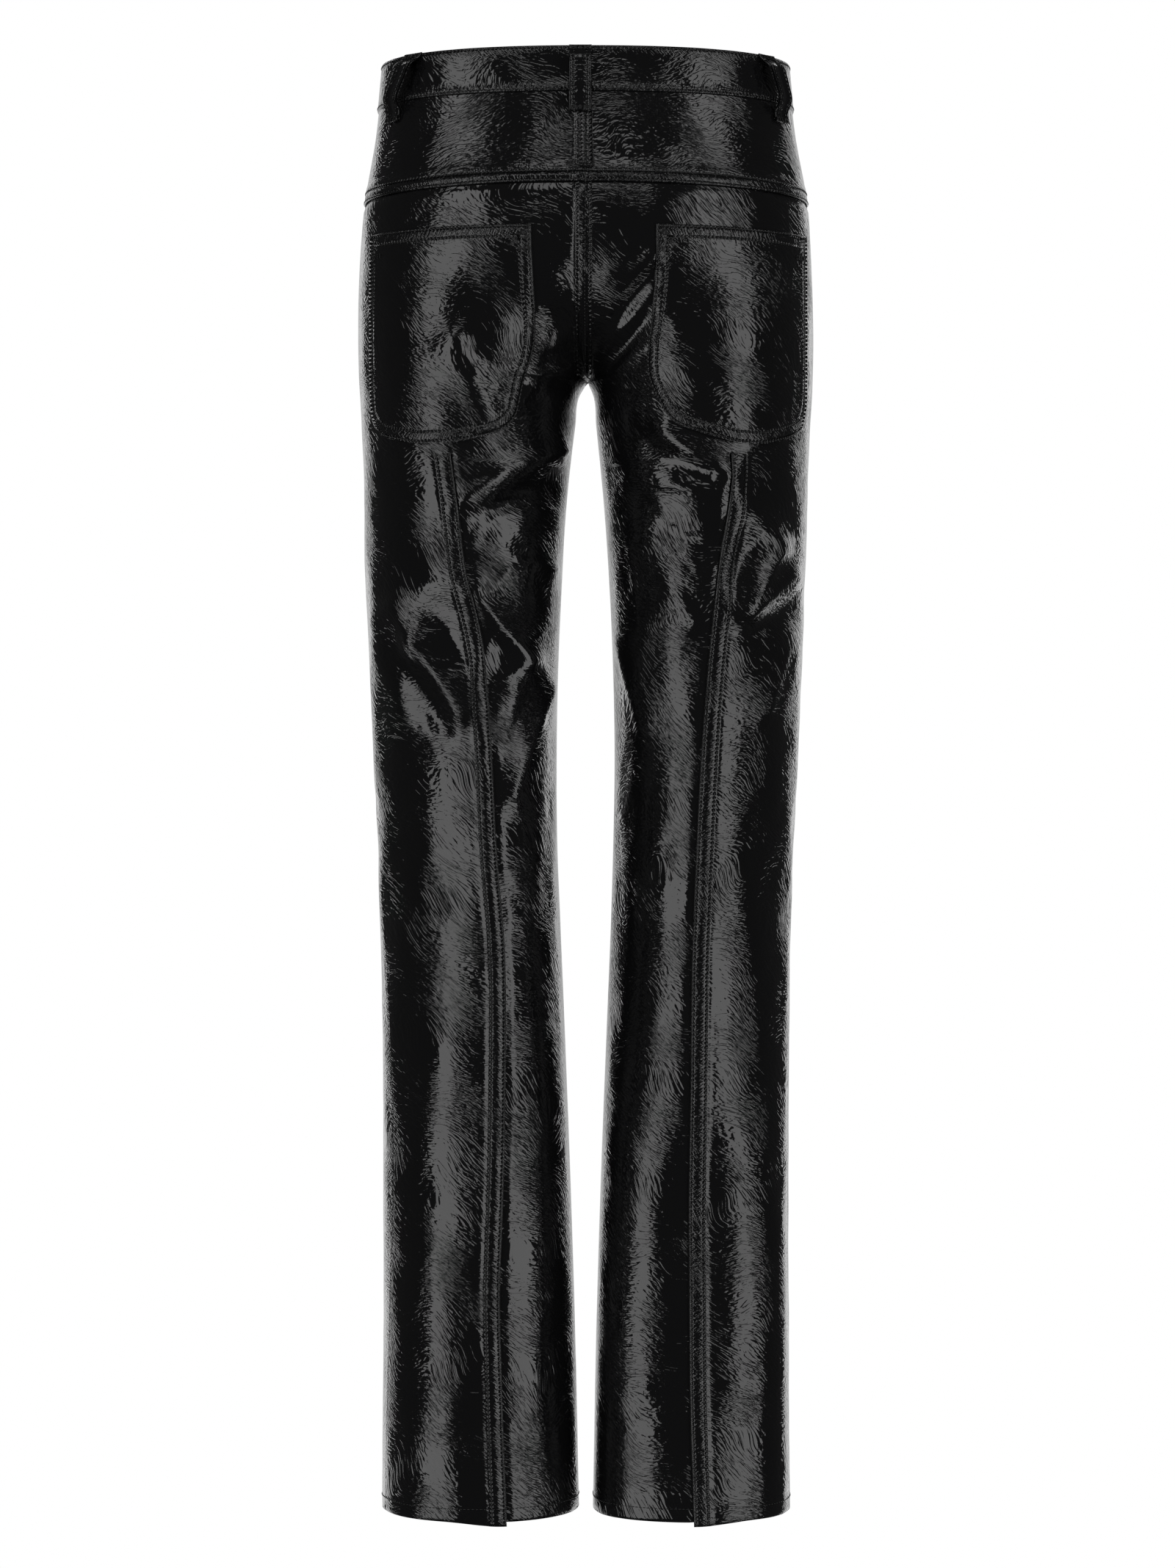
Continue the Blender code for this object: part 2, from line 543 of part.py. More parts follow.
def back_panel(side):
    """Back leg in one piece, slit from under the pocket to the hem.

    The slit's outer edge laps over its inner edge. It is sewn down to the vent and free below.
    """
    (out_turns, out_levels), (in_turns, in_levels) = back_grid(side)
    raised = np.zeros(out_turns.shape)
    raised[:, -2:] = np.where(out_levels[:, -2:] > SLIT_ROOT + TINY, LAP_LIFT, 0.0)
    edge = along(LEG_SEAMS, who(side), HEM_DROP)
    from_edge = np.abs(body_form(side, out_turns[-1], out_levels[-1])[:, 0]) - edge
    out_levels = out_levels.copy()
    out_levels[-1] += VENT_HANG * ease(1 - from_edge / VENT_HANG_REACH)
    outer_out = clear_of_middle(side, skin(side, out_turns, out_levels, raised))
    outer_in = clear_of_middle(side, skin(side, out_turns, out_levels, raised - WALL))
    fell = felled(side, in_turns, in_levels, YOKE_DROP + LAP_STEP)
    inner_out = clear_of_middle(side, skin(side, in_turns, in_levels, fell))
    inner_in = clear_of_middle(side, skin(side, in_turns, in_levels, -WALL))
    for points in (outer_out, outer_in):
        draw_in(points, 0, 1)
    for points in (inner_out, inner_in):
        draw_in(points, -1, -2)
    patches = [(outer_out, outer_in), (inner_out, inner_in)]
    return make_wall("back_" + who(side), patches, vinyl("back_vinyl", 0.16))


def yoke(side):
    """Back yoke, lapped over the top of the back panel."""
    (out_turns, _), (in_turns, _) = back_grid(side)
    turns = np.concatenate([out_turns[0], in_turns[0][1:]])
    x = np.abs(body_form(side, turns, YOKE_DROP)[:, 0])
    edge = yoke_edge(x)
    top = np.full(len(turns), BAND_HEIGHT + SEAM_GAP)
    upper = [top, top + YOKE_ROW_STEP, top + 2 * YOKE_ROW_STEP]
    rows = upper + [edge - LAP_WIDTH - LAP_STEP, edge - LAP_WIDTH, edge]
    levels = np.stack(rows)
    turns = np.repeat(turns[None, :], len(rows), 0)
    raised = np.zeros(turns.shape)
    raised[-2:] = LAP_LIFT
    fell = felled(side, turns, levels, BAND_HEIGHT)
    outer = clear_of_middle(side, skin(side, turns, levels, raised + fell))
    inner = clear_of_middle(side, skin(side, turns, levels, raised - WALL))
    for points in (outer, inner):
        draw_in(points, 0, 1)
    return make_wall("yoke_" + who(side), [(outer, inner)], vinyl("yoke_vinyl", 0.16))


def back_pocket(side):
    """Patch pocket, made from the back panel's own rows and columns, moved out."""
    (out_turns, levels), (in_turns, _) = back_grid(side)
    turns = np.concatenate([out_turns, in_turns[:, 1:]], 1)
    drops = levels[:, 0]
    used = (drops > POCKET_TOP - TINY) & (drops < POCKET_BOTTOM + TINY)
    turns = turns[used]
    drops = drops[used]
    low = turn_at(side, BACK, along(POCKETS, who(side) + "_outer", drops), drops)
    high = turn_at(side, BACK, along(POCKETS, who(side) + "_inner", drops), drops)
    held = np.clip(turns, low[:, None], high[:, None])
    levels = np.repeat(drops[:, None], turns.shape[1], 1)
    panel = skin(side, turns, levels)
    base = np.empty(panel.shape)
    for i in range(len(drops)):
        for axis in range(3):
            base[i, :, axis] = np.interp(held[i], turns[i], panel[i, :, axis])
    normal = outward(side, held, levels)
    corner = (held != turns) & (levels > CROTCH_DROP)
    gap = np.where(corner, POCKET_CORNER_GAP, POCKET_GAP)[..., None]
    outer = base + normal * (gap + WALL)
    inner = base + normal * gap
    return make_wall("back_pocket_" + who(side), [(outer, inner)], vinyl("pocket_vinyl", 0.15))


def band_columns():
    """Columns round the waistband as side, turn and inward shift, from the underlap's end."""
    columns = []
    for x in BAND_TUCKED_LEFT:
        columns.append((LEFT, float(turn_at(LEFT, FRONT, x, np.array(0.0))), -BAND_TUCK))
    for x in BAND_TUCKED_RIGHT:
        columns.append((RIGHT, float(turn_at(RIGHT, FRONT, x, np.array(0.0))), -BAND_TUCK))
    for turn in np.linspace(BAND_RIGHT_START, 1.0, BAND_RIGHT_COLUMNS):
        columns.append((RIGHT, float(turn), 0.0))
    for turn in np.linspace(1.0, BAND_LEFT_END, BAND_LEFT_COLUMNS)[1:]:
        columns.append((LEFT, float(turn), 0.0))
    columns.append((RIGHT, float(turn_at(RIGHT, FRONT, BAND_OVERLAP, np.array(0.0))), 0.0))
    return columns


def waistband():
    """One strip round the waist, its right end tucked under its left end at centre front."""
    levels = np.linspace(0.0, BAND_HEIGHT, BAND_ROWS)
    columns = band_columns()
    outer = np.zeros((len(levels), len(columns), 3))
    inner = np.zeros(outer.shape)
    for j, (side, turn, shift) in enumerate(columns):
        outer[:, j] = skin(side, turn, levels, BAND_PROUD + shift)
        inner[:, j] = skin(side, turn, levels, BAND_PROUD - BAND_WALL + shift)
    return make_wall("waistband", [(outer, inner)], vinyl("waistband_vinyl", 0.15))


def belt_loop(loop):
    """Strap that stands off the waistband, both ends flat on the cloth."""
    drops = np.array([station.drop for station in LOOP_STATIONS])
    share = np.array([station.share for station in LOOP_STATIONS])
    middle = loop.x_top + (loop.x_low - loop.x_top) * drops / LOOP_REFERENCE
    on_fell = FELL_RAISE if loop.x_low < LOOP_WIDTH else 0.0
    under = np.where(drops < BAND_HEIGHT + LOOP_OVER_SEAM, BAND_PROUD, on_fell) + LOOP_GAP
    out = under + (loop.stand_off - LOOP_GAP) * share
    middle_turn = turn_at(loop.side, loop.face, middle, drops)
    centre = body_form(loop.side, middle_turn, drops)
    normal = outward(loop.side, middle_turn, drops)
    across = np.cross(normal, (0.0, 0.0, -1.0))
    across /= np.linalg.norm(across, axis=-1, keepdims=True)
    outer = np.zeros((len(drops), 3, 3))
    inner = np.zeros(outer.shape)
    for j, shift in enumerate((-LOOP_WIDTH / 2, 0.0, LOOP_WIDTH / 2)):
        place = centre + across * shift
        outer[:, j] = place + normal * (out + LOOP_WALL)[:, None]
        inner[:, j] = place + normal * out[:, None]
    return make_wall(loop.name, [(outer, inner)], vinyl("loop_vinyl", 0.18))


def waistband_button():
    """Round button on the waistband's overlapping end."""
    drop = np.array(BAND_HEIGHT / 2)
    turn = turn_at(LEFT, FRONT, BUTTON_X, drop)
    normal = outward(LEFT, turn, drop)
    back = skin(LEFT, turn, drop, BAND_PROUD + BUTTON_OFF_BAND)
    bpy.ops.mesh.primitive_cylinder_add(
        vertices=BUTTON_CORNERS, radius=BUTTON_RADIUS, depth=BUTTON_THICKNESS, location=(0, 0, 0)
    )
    button = bpy.context.object
    button.name = "waistband_button"
    button.location = Vector(back + normal * BUTTON_THICKNESS / 2)
    button.rotation_euler = Vector((0, 0, 1)).rotation_difference(Vector(normal)).to_euler()
    bevel = button.modifiers.new("rounded_rim", "BEVEL")
    bevel.width = BUTTON_BEVEL
    bevel.segments = 2
    button.data.shade_smooth()
    button.data.set_sharp_from_angle(angle=math.radians(BUTTON_SHARP_DEGREES))
    button.data.materials.append(dark_metal("button_metal"))
    return button


def put_in(collection, thing):
    for holder in list(thing.users_collection):
        holder.objects.unlink(thing)
    collection.objects.link(thing)


def main():
    for thing in list(bpy.data.objects):
        bpy.data.objects.remove(thing)
    collection = bpy.data.collections.new("vinyl_trousers")
    bpy.context.scene.collection.children.link(collection)
    pieces = [waistband(), waistband_button()]
    for side in (LEFT, RIGHT):
        pieces += [front_panel(side), back_panel(side), yoke(side), back_pocket(side)]
    pieces += [belt_loop(loop) for loop in LOOPS]
    for piece in pieces:
        put_in(collection, piece)


main()
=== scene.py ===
# %% [markdown]
# # Vinyl trousers, one cell at a time
# Black patent-vinyl trousers, filled out as if worn. Every piece that a maker cuts is one thin
# shell here, lofted through the same half-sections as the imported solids, only much finer. The
# shine lives in the material, the big creases live in the mesh, and the stitches are Geometry
# Nodes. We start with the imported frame, because every piece has to sit where its solid is.

import math
from collections import namedtuple

import bmesh
import bpy
import numpy as np
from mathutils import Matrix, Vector


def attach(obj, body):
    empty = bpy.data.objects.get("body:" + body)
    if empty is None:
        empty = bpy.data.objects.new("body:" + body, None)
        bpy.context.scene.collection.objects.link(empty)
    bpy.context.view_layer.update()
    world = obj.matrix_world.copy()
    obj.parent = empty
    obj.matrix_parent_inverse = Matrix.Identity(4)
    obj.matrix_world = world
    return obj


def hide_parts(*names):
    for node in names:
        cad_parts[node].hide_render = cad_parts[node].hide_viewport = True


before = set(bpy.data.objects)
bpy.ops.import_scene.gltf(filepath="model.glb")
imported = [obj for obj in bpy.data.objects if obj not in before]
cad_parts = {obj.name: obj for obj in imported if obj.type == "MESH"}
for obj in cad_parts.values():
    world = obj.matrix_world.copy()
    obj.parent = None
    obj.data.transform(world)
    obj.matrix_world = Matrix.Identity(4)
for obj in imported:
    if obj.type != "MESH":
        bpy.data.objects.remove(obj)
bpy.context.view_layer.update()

# %% [markdown]
# ## Small tools
# Lights, materials and stitches are all made of nodes, so making a node and filling its inputs is
# one call here. A Number wraps a socket, so that heights can be written as plain sums.

# %% Tools for nodes, objects and grids
def feed(tree, node, inputs):
    """Sets a node's inputs to plain values, or links sockets to them."""
    for slot, value in dict(inputs).items():
        value = getattr(value, "socket", value)
        if isinstance(value, bpy.types.NodeSocket):
            tree.links.new(value, node.inputs[slot])
        else:
            node.inputs[slot].default_value = value
    return node


def new_node(tree, kind, inputs=(), **settings):
    node = tree.nodes.new(kind)
    for name, value in settings.items():
        setattr(node, name, value)
    return feed(tree, node, inputs)


class Number:
    """A shader socket that can stand in a sum like a plain number."""

    def __init__(self, tree, socket):
        self.tree, self.socket = tree, socket

    def apply(self, operation, *others):
        inputs = dict(enumerate((self, *others)))
        node = new_node(self.tree, "ShaderNodeMath", inputs, operation=operation)
        return Number(self.tree, node.outputs[0])

    def __add__(self, other):
        return self.apply("ADD", other)

    def __sub__(self, other):
        return self.apply("SUBTRACT", other)

    def __mul__(self, other):
        return self.apply("MULTIPLY", other)

    def __truediv__(self, other):
        return self.apply("DIVIDE", other)


def remap(tree, value, to_low, to_high, low=0.0, high=1.0):
    inputs = {"Value": value, "From Min": low, "From Max": high}
    inputs.update({"To Min": to_low, "To Max": to_high})
    return Number(tree, new_node(tree, "ShaderNodeMapRange", inputs).outputs["Result"])


def add_object(name, data):
    made = bpy.data.objects.new(name, data)
    bpy.context.scene.collection.objects.link(made)
    return made


def numbered_grid(shape, numbers):
    """Quads of a grid whose points run along its rows, by point number."""
    grid = numbers.reshape(shape)
    corners = (grid[:-1, :-1], grid[:-1, 1:], grid[1:, 1:], grid[1:, :-1])
    return np.stack([corner.reshape(-1) for corner in corners], -1)


def table(columns, *rows):
    """Rows of numbers whose columns have names."""
    Row = namedtuple("Row", columns)
    return [Row(*row) for row in rows]


def table_mm(columns, *rows):
    """The same, with rows in millimetres."""
    return table(columns, *([value / 1000 for value in row] for row in rows))


print("tools ready")

# %% [markdown]
# ## The camera
# The photograph looks straight at the back. It was taken with a long lens, so the outline hardly
# changes with depth. We set the distance, and work the lens out from how many pixels a metre
# takes up in the middle of the body.

# %% Camera
PHOTO_HEIGHT_PX = 2136
PIXELS_PER_METRE = 1878.0  # at the middle of the body
CAMERA_DISTANCE = 3.0
CAMERA_DROP = 0.519
SENSOR_MM = 36.0

camera_data = bpy.data.cameras.new("camera")
camera_data.lens = PIXELS_PER_METRE * CAMERA_DISTANCE * SENSOR_MM / PHOTO_HEIGHT_PX
camera_data.sensor_width = SENSOR_MM
camera = add_object("camera", camera_data)
camera.location = (0, CAMERA_DISTANCE, -CAMERA_DROP)
camera.rotation_euler = (math.pi / 2, 0, math.pi)
bpy.context.scene.camera = camera
print("lens:", round(camera_data.lens, 1), "mm")

# %% [markdown]
# ## The studio
# Patent vinyl is black, so all that we see of it is what it mirrors. Two tall curtains of light
# stand left and right of the camera and give each leg its two long bands. They are wider towards
# the floor, as the bands on the shins are. A second pair does the same for the front, and a
# softbox overhead picks out the wrinkles that face up. Between them the room is dark, which
# keeps the black black, and the white wall behind gives the bright rim along the outline.

# %% Lights, floor and backdrop
CURTAIN_DISTANCE = 2.2
CURTAIN_RADIANCE = 2.35
CURTAIN_COLUMNS = 5
FRONT_RADIANCE = 1.3  # the front pair also brushes the outline, so it is dimmer and narrower
FRONT_NEARER = 0.62
TOP_PLACE = (0.0, 1.5, 1.75)
TOP_TARGET = (0.0, 0.0, -0.15)
TOP_SIZE = 1.1
TOP_RADIANCE = 1.9
FLOOR_DROP = 2.4  # the trousers hang above it, so it never shows in their shine
FLOOR_REACH = 14.0
WALL_BEHIND = 6.0
WALL_HALF_WIDTH = 2.2
WALL_TOP = 3.2
ROOM_GLOW = 0.045  # what the vinyl mirrors where there is no light
WALL_GLOW = 0.75

# Each curtain's edges, in degrees away from the camera's direction, at several heights
CURTAIN = table(
    "height near far",
    (1.65, 36, 60), (1.00, 36, 60), (0.10, 35, 60), (-0.50, 33, 55),
    (-0.90, 32, 58), (-1.30, 31, 74), (-2.20, 31, 74),
)


def glow(tree, seen, mirrored):
    """One brightness for the camera itself, and another for the vinyl's reflections."""
    ray = new_node(tree, "ShaderNodeLightPath").outputs["Is Camera Ray"]
    return remap(tree, ray, mirrored, seen)


def add_stage(name, points, quads, seen, mirrored):
    """A glowing sheet; one that the camera's rays see as black stays hidden from it."""
    material = bpy.data.materials.new(name)
    material.use_nodes = True
    tree = material.node_tree
    tree.nodes.clear()
    light = new_node(tree, "ShaderNodeEmission", {"Strength": glow(tree, seen, mirrored)})
    new_node(tree, "ShaderNodeOutputMaterial", {"Surface": light.outputs["Emission"]})
    mesh = bpy.data.meshes.new(name)
    mesh.from_pydata(points, [], quads)
    mesh.materials.append(material)
    sheet = add_object(name, mesh)
    sheet.visible_camera = seen > 0


def add_curtain(side, face):
    """A tall bent sheet of light."""
    nearer, radiance = (1.0, CURTAIN_RADIANCE) if face > 0 else (FRONT_NEARER, FRONT_RADIANCE)
    points = []
    for row in CURTAIN:
        for share in np.linspace(0, 1, CURTAIN_COLUMNS):
            angle = math.radians(row.near + (row.far - row.near) * share) * nearer
            x, y = side * math.sin(angle), face * math.cos(angle)
            points.append((CURTAIN_DISTANCE * x, CURTAIN_DISTANCE * y, row.height))
    quads = numbered_grid((len(CURTAIN), CURTAIN_COLUMNS), np.arange(len(points)))
    add_stage(f"curtain_{side}_{face}", points, quads.tolist(), 0.0, radiance)


top_data = bpy.data.lights.new("top", "AREA")
top_data.shape = "RECTANGLE"
top_data.size = top_data.size_y = TOP_SIZE
top_data.energy = TOP_RADIANCE * TOP_SIZE * TOP_SIZE * math.pi
top = add_object("top", top_data)
top.location = TOP_PLACE
down_to = Vector(TOP_TARGET) - Vector(TOP_PLACE)
top.rotation_euler = down_to.to_track_quat("-Z", "Y").to_euler()
top.visible_camera = False

for side in (1, -1):
    for face in (1, -1):
        add_curtain(side, face)

ONE_QUAD = [(0, 1, 2, 3)]
corners = ((-1, -1), (1, -1), (1, 1), (-1, 1))
floor_points = [(x * FLOOR_REACH, y * FLOOR_REACH, -FLOOR_DROP) for x, y in corners]
wall_points = [
    (x * WALL_HALF_WIDTH, -WALL_BEHIND, WALL_TOP if z > 0 else -FLOOR_DROP) for x, z in corners
]
add_stage("floor", floor_points, ONE_QUAD, 1.0, ROOM_GLOW)
add_stage("backdrop", wall_points, ONE_QUAD, 1.0, WALL_GLOW)

world = bpy.data.worlds.new("studio")
bpy.context.scene.world = world
world.use_nodes = True
sky = world.node_tree
background = {"Strength": glow(sky, 1.0, ROOM_GLOW), "Color": (1, 1, 1, 1)}
feed(sky, sky.nodes["Background"], background)
bpy.context.scene.view_settings.view_transform = "Standard"
print("studio: four curtains of", len(CURTAIN), "rows and a top light")

# %% [markdown]
# ## The pattern's sizes
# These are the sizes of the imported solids, in metres; a table_mm has its rows in millimetres.
# Drops are measured down from the waist. Each row of SECTIONS is half a section: how far the
# outline stands out at the side, where the inside of the leg is, and how deep the body is at the
# back and the front.

# %% Sizes
BACK, FRONT = 1, -1
SIDES = LEFT, RIGHT = 1, -1
WALL = 0.0016
SEAM_GAP = 0.0003
SEAM_TUCK = 0.0012
LAP_WIDTH = 0.0110
LAP_STEP = 0.0035
OUTER_LIFT = 0.0009  # a lap shares its thickness: the upper layer rises and the lower one sinks
UNDER_SINK = 0.0011
BAND_HEIGHT = 0.033
YOKE_DROP = 0.098
YOKE_SIDE_DIP = 0.003
FORK_START = 0.143
CROTCH_DROP = 0.228
PART_START = 0.105
PART_END = 0.262
PART_POWER = 4.0
POCKET_TOP = 0.128
POCKET_STRAIGHT = 0.245  # where a pocket's sides end and its rounded bottom starts
POCKET_BOTTOM = 0.2795
SLIT_ROOT = 0.2850
HEM_DROP = 1.042
VENT_HANG = 0.003
VENT_HANG_REACH = 0.045
VENT_BEND = 0.03
BAND_PROUD = 0.0010
BAND_WALL = 0.0028
BAND_UNDERLAP = 0.035
BAND_OVERLAP = 0.004
FELL_RAISE = 0.0011
FELL_TURN = 0.980
FELL_FOOT_TURN = 0.974
FELL_FALL = 0.65
POCKET_GAP = 0.0004
POCKET_WALL = 0.0013
HIP_POWER = 0.88
HIP_HALF_WIDTH = 0.160
STEP = 0.0015
MIDDLE_OVERLAP = 0.0008

SECTIONS = table_mm(
    "drop left_out left_in right_out right_in back front",
    (0, 148, 0.2, 145.4, 0.2, 96, 96), (50, 153.1, 0.2, 150.4, 0.2, 102, 101),
    (100, 161.3, 0.2, 159.2, 0.2, 112, 103), (150, 165.1, 0.2, 162.4, 0.2, 118, 101),
    (200, 166.1, 0.2, 163.5, 0.2, 116, 96.5), (228, 165.6, 0.4, 162.9, 0.4, 110, 94.5),
    (236, 165.2, 5.2, 162.6, 3.8, 108, 94), (260, 163.9, 8.8, 161.1, 6.3, 103, 92.5),
    (320, 162.2, 15.4, 159.5, 12.1, 96, 89), (380, 160.3, 18.8, 157.5, 16.1, 90, 85),
    (440, 157.6, 21.3, 154.9, 18.6, 84, 81), (500, 154.7, 22.3, 152, 19.6, 79, 78),
    (560, 151.7, 21.9, 149.4, 18.7, 75, 76), (620, 150.1, 19.6, 147.4, 16.9, 72.5, 74.5),
    (700, 148.6, 16.3, 145.9, 13.7, 71.5, 73), (800, 148, 12.5, 145.4, 9.8, 71.5, 72),
    (900, 148, 9.3, 145.5, 6.7, 72, 72), (1050, 148.6, 5.9, 146.4, 3.7, 73, 73),
)

# Back of each leg: how far its fullest line leans from the leg's middle, away from the inseam,
# and how flat the section is there (below 1 is boxier, above 1 more pointed)
LEG_BACKS = table(
    "drop left_lean left_power right_lean right_power",
    (0.143, 0.0000, 1.00, 0.0000, 1.00), (0.340, 0.0000, 1.00, 0.0000, 1.00),
    (0.430, -0.0050, 1.02, -0.0010, 1.10), (0.515, -0.0110, 1.10, -0.0020, 1.24),
    (0.640, -0.0100, 1.15, -0.0020, 1.24), (0.720, -0.0110, 1.08, -0.0010, 1.02),
    (0.800, -0.0060, 1.06, 0.0000, 0.80), (0.870, -0.0020, 1.02, 0.0000, 0.72),
    (0.940, 0.0020, 0.98, 0.0000, 0.70), (1.050, 0.0010, 0.94, 0.0000, 0.74),
)

# The turns at which the side seams lie
OUTSEAMS = table(
    "drop left right",
    (0.000, 0.00, 0.00), (0.300, 0.00, 0.00), (0.500, 0.00, 0.00), (0.560, 0.01, 0.00),
    (0.640, 0.08, 0.03), (0.740, 0.14, 0.05), (0.900, 0.13, 0.05), (1.050, 0.09, 0.04),
)

# How far the leg seams lie from the middle, and the two sides of the pockets
LEG_SEAMS = table_mm(
    "drop left right",
    (100, 101, 103), (280, 96.5, 100.9), (323, 91, 98.5), (368, 85.6, 92), (421, 73.5, 86.4),
    (483, 68.7, 81.4), (573, 64.2, 76.9), (631, 59.4, 74.6), (740, 58.5, 73), (827, 60.5, 71.7),
    (874, 62.2, 72), (957, 60.5, 72.7), (1050, 57.1, 75.6),
)
POCKETS = table_mm(
    "drop left_inner left_outer right_inner right_outer",
    (128, 38.9, 153.9, 47.2, 155.5), (205, 38.6, 154.4, 45.6, 155.3),
    (232, 43.5, 154.3, 43.8, 155.1), (250, 48, 153.6, 51, 154.6), (260, 51.2, 152.2, 57, 153),
    (268, 58, 148, 67, 150), (274.5, 71, 140, 86, 140), (279.5, 92, 120, 105, 125),
)
print("tables of", len(SECTIONS), "sections and", len(LEG_SEAMS), "seam places")

# %% [markdown]
# ## The big folds
# Vinyl is stiff, so it breaks into a few long ridges and troughs instead of many soft waves. Each
# row is one of them: where it starts and ends, as a distance from the middle and a drop, then its
# width and its height, all in millimetres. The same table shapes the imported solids.

# %% Folds
Fold = namedtuple("Fold", "side face x0 drop0 x1 drop1 width height")


def folds_on(side, face, *rows):
    return [Fold(side, face, *(value / 1000 for value in row)) for row in rows]


FOLDS = [
    # wearer's left, back: the seat, the drag from the crotch, the star below it, the knee's break
    *folds_on(LEFT, BACK,
        (60, 150, 60, 195, 34, 4), (94, 212, 70, 262, 11, 3.5), (52, 235, 78, 214, 12, -3),
        (20, 281, 84, 318, 10, 4.5), (30, 310, 74, 338, 13, -4.5), (26, 366, 54, 368, 10, 2.6),
        (112, 350, 96, 388, 11, 2.2), (80, 386, 44, 429, 10, 4.8), (44, 434, 58, 466, 10, 3),
        (61, 424, 68, 448, 10, -3), (134, 394, 122, 420, 10, 4), (122, 420, 90, 466, 11, 5),
        (103, 396, 91, 430, 12, -4), (136, 424, 104, 478, 10, -4.2), (148, 405, 134, 470, 12, 3),
        (27, 450, 52, 524, 11, 3.6), (102, 700, 112, 770, 18, 2), (110, 860, 98, 960, 18, 2),
        (36, 820, 40, 960, 14, 2),
    ),
    # wearer's right, back
    *folds_on(RIGHT, BACK,
        (58, 150, 58, 190, 34, 4.5), (54, 272, 98, 302, 10, 4.6), (36, 300, 92, 314, 10, 4),
        (46, 284, 84, 304, 9, -3), (58, 344, 86, 352, 11, -3.8), (112, 326, 132, 350, 11, 3),
        (134, 352, 110, 396, 10, 4.4), (114, 350, 104, 374, 10, -3.4),
        (114, 398, 146, 370, 10, 4.2), (120, 412, 144, 396, 10, -3.4), (12, 172, 44, 146, 7, 2.5),
        (22, 190, 44, 164, 7, -2.5), (140, 424, 128, 466, 12, 2.6), (26, 420, 40, 478, 11, 2.6),
        (34, 780, 30, 940, 22, 2.2), (118, 780, 122, 940, 22, 2.2),
    ),
    # fronts, hidden in the photograph: the same kinds of fold
    *folds_on(LEFT, FRONT,
        (12, 226, 70, 190, 12, 3.5), (18, 246, 90, 226, 12, 4), (24, 272, 80, 262, 11, -3),
        (40, 500, 120, 520, 14, 3), (50, 545, 110, 552, 13, -2.5), (80, 640, 66, 760, 20, 2.5),
        (100, 840, 88, 960, 18, 2.5),
    ),
    *folds_on(RIGHT, FRONT,
        (12, 222, 74, 184, 12, 3.5), (18, 250, 86, 234, 12, 4), (26, 280, 88, 268, 11, -3),
        (36, 512, 108, 500, 14, 3), (60, 548, 120, 540, 13, -2.5), (74, 660, 86, 780, 20, 2.5),
        (60, 860, 72, 970, 18, 2.5),
    ),
]
FOLD_FADE_SIDE = 0.16
FOLD_FADE_MIDDLE = 0.16

# The stiff seam down the back of each leg holds the cloth out as a long soft ridge
SEAM_RIDGES = table_mm(
    "drop left right",
    (285, 0, 0), (400, 0.6, 1), (470, 2.2, 1.8), (600, 2.4, 2), (720, 2.2, 0.8), (800, 1.6, 0.2),
    (950, 1, 0), (1050, 0.8, 0),
)
SEAM_RIDGE_MIDDLE = 0.006
SEAM_RIDGE_WIDTH = 0.014
print("folds:", len(FOLDS))
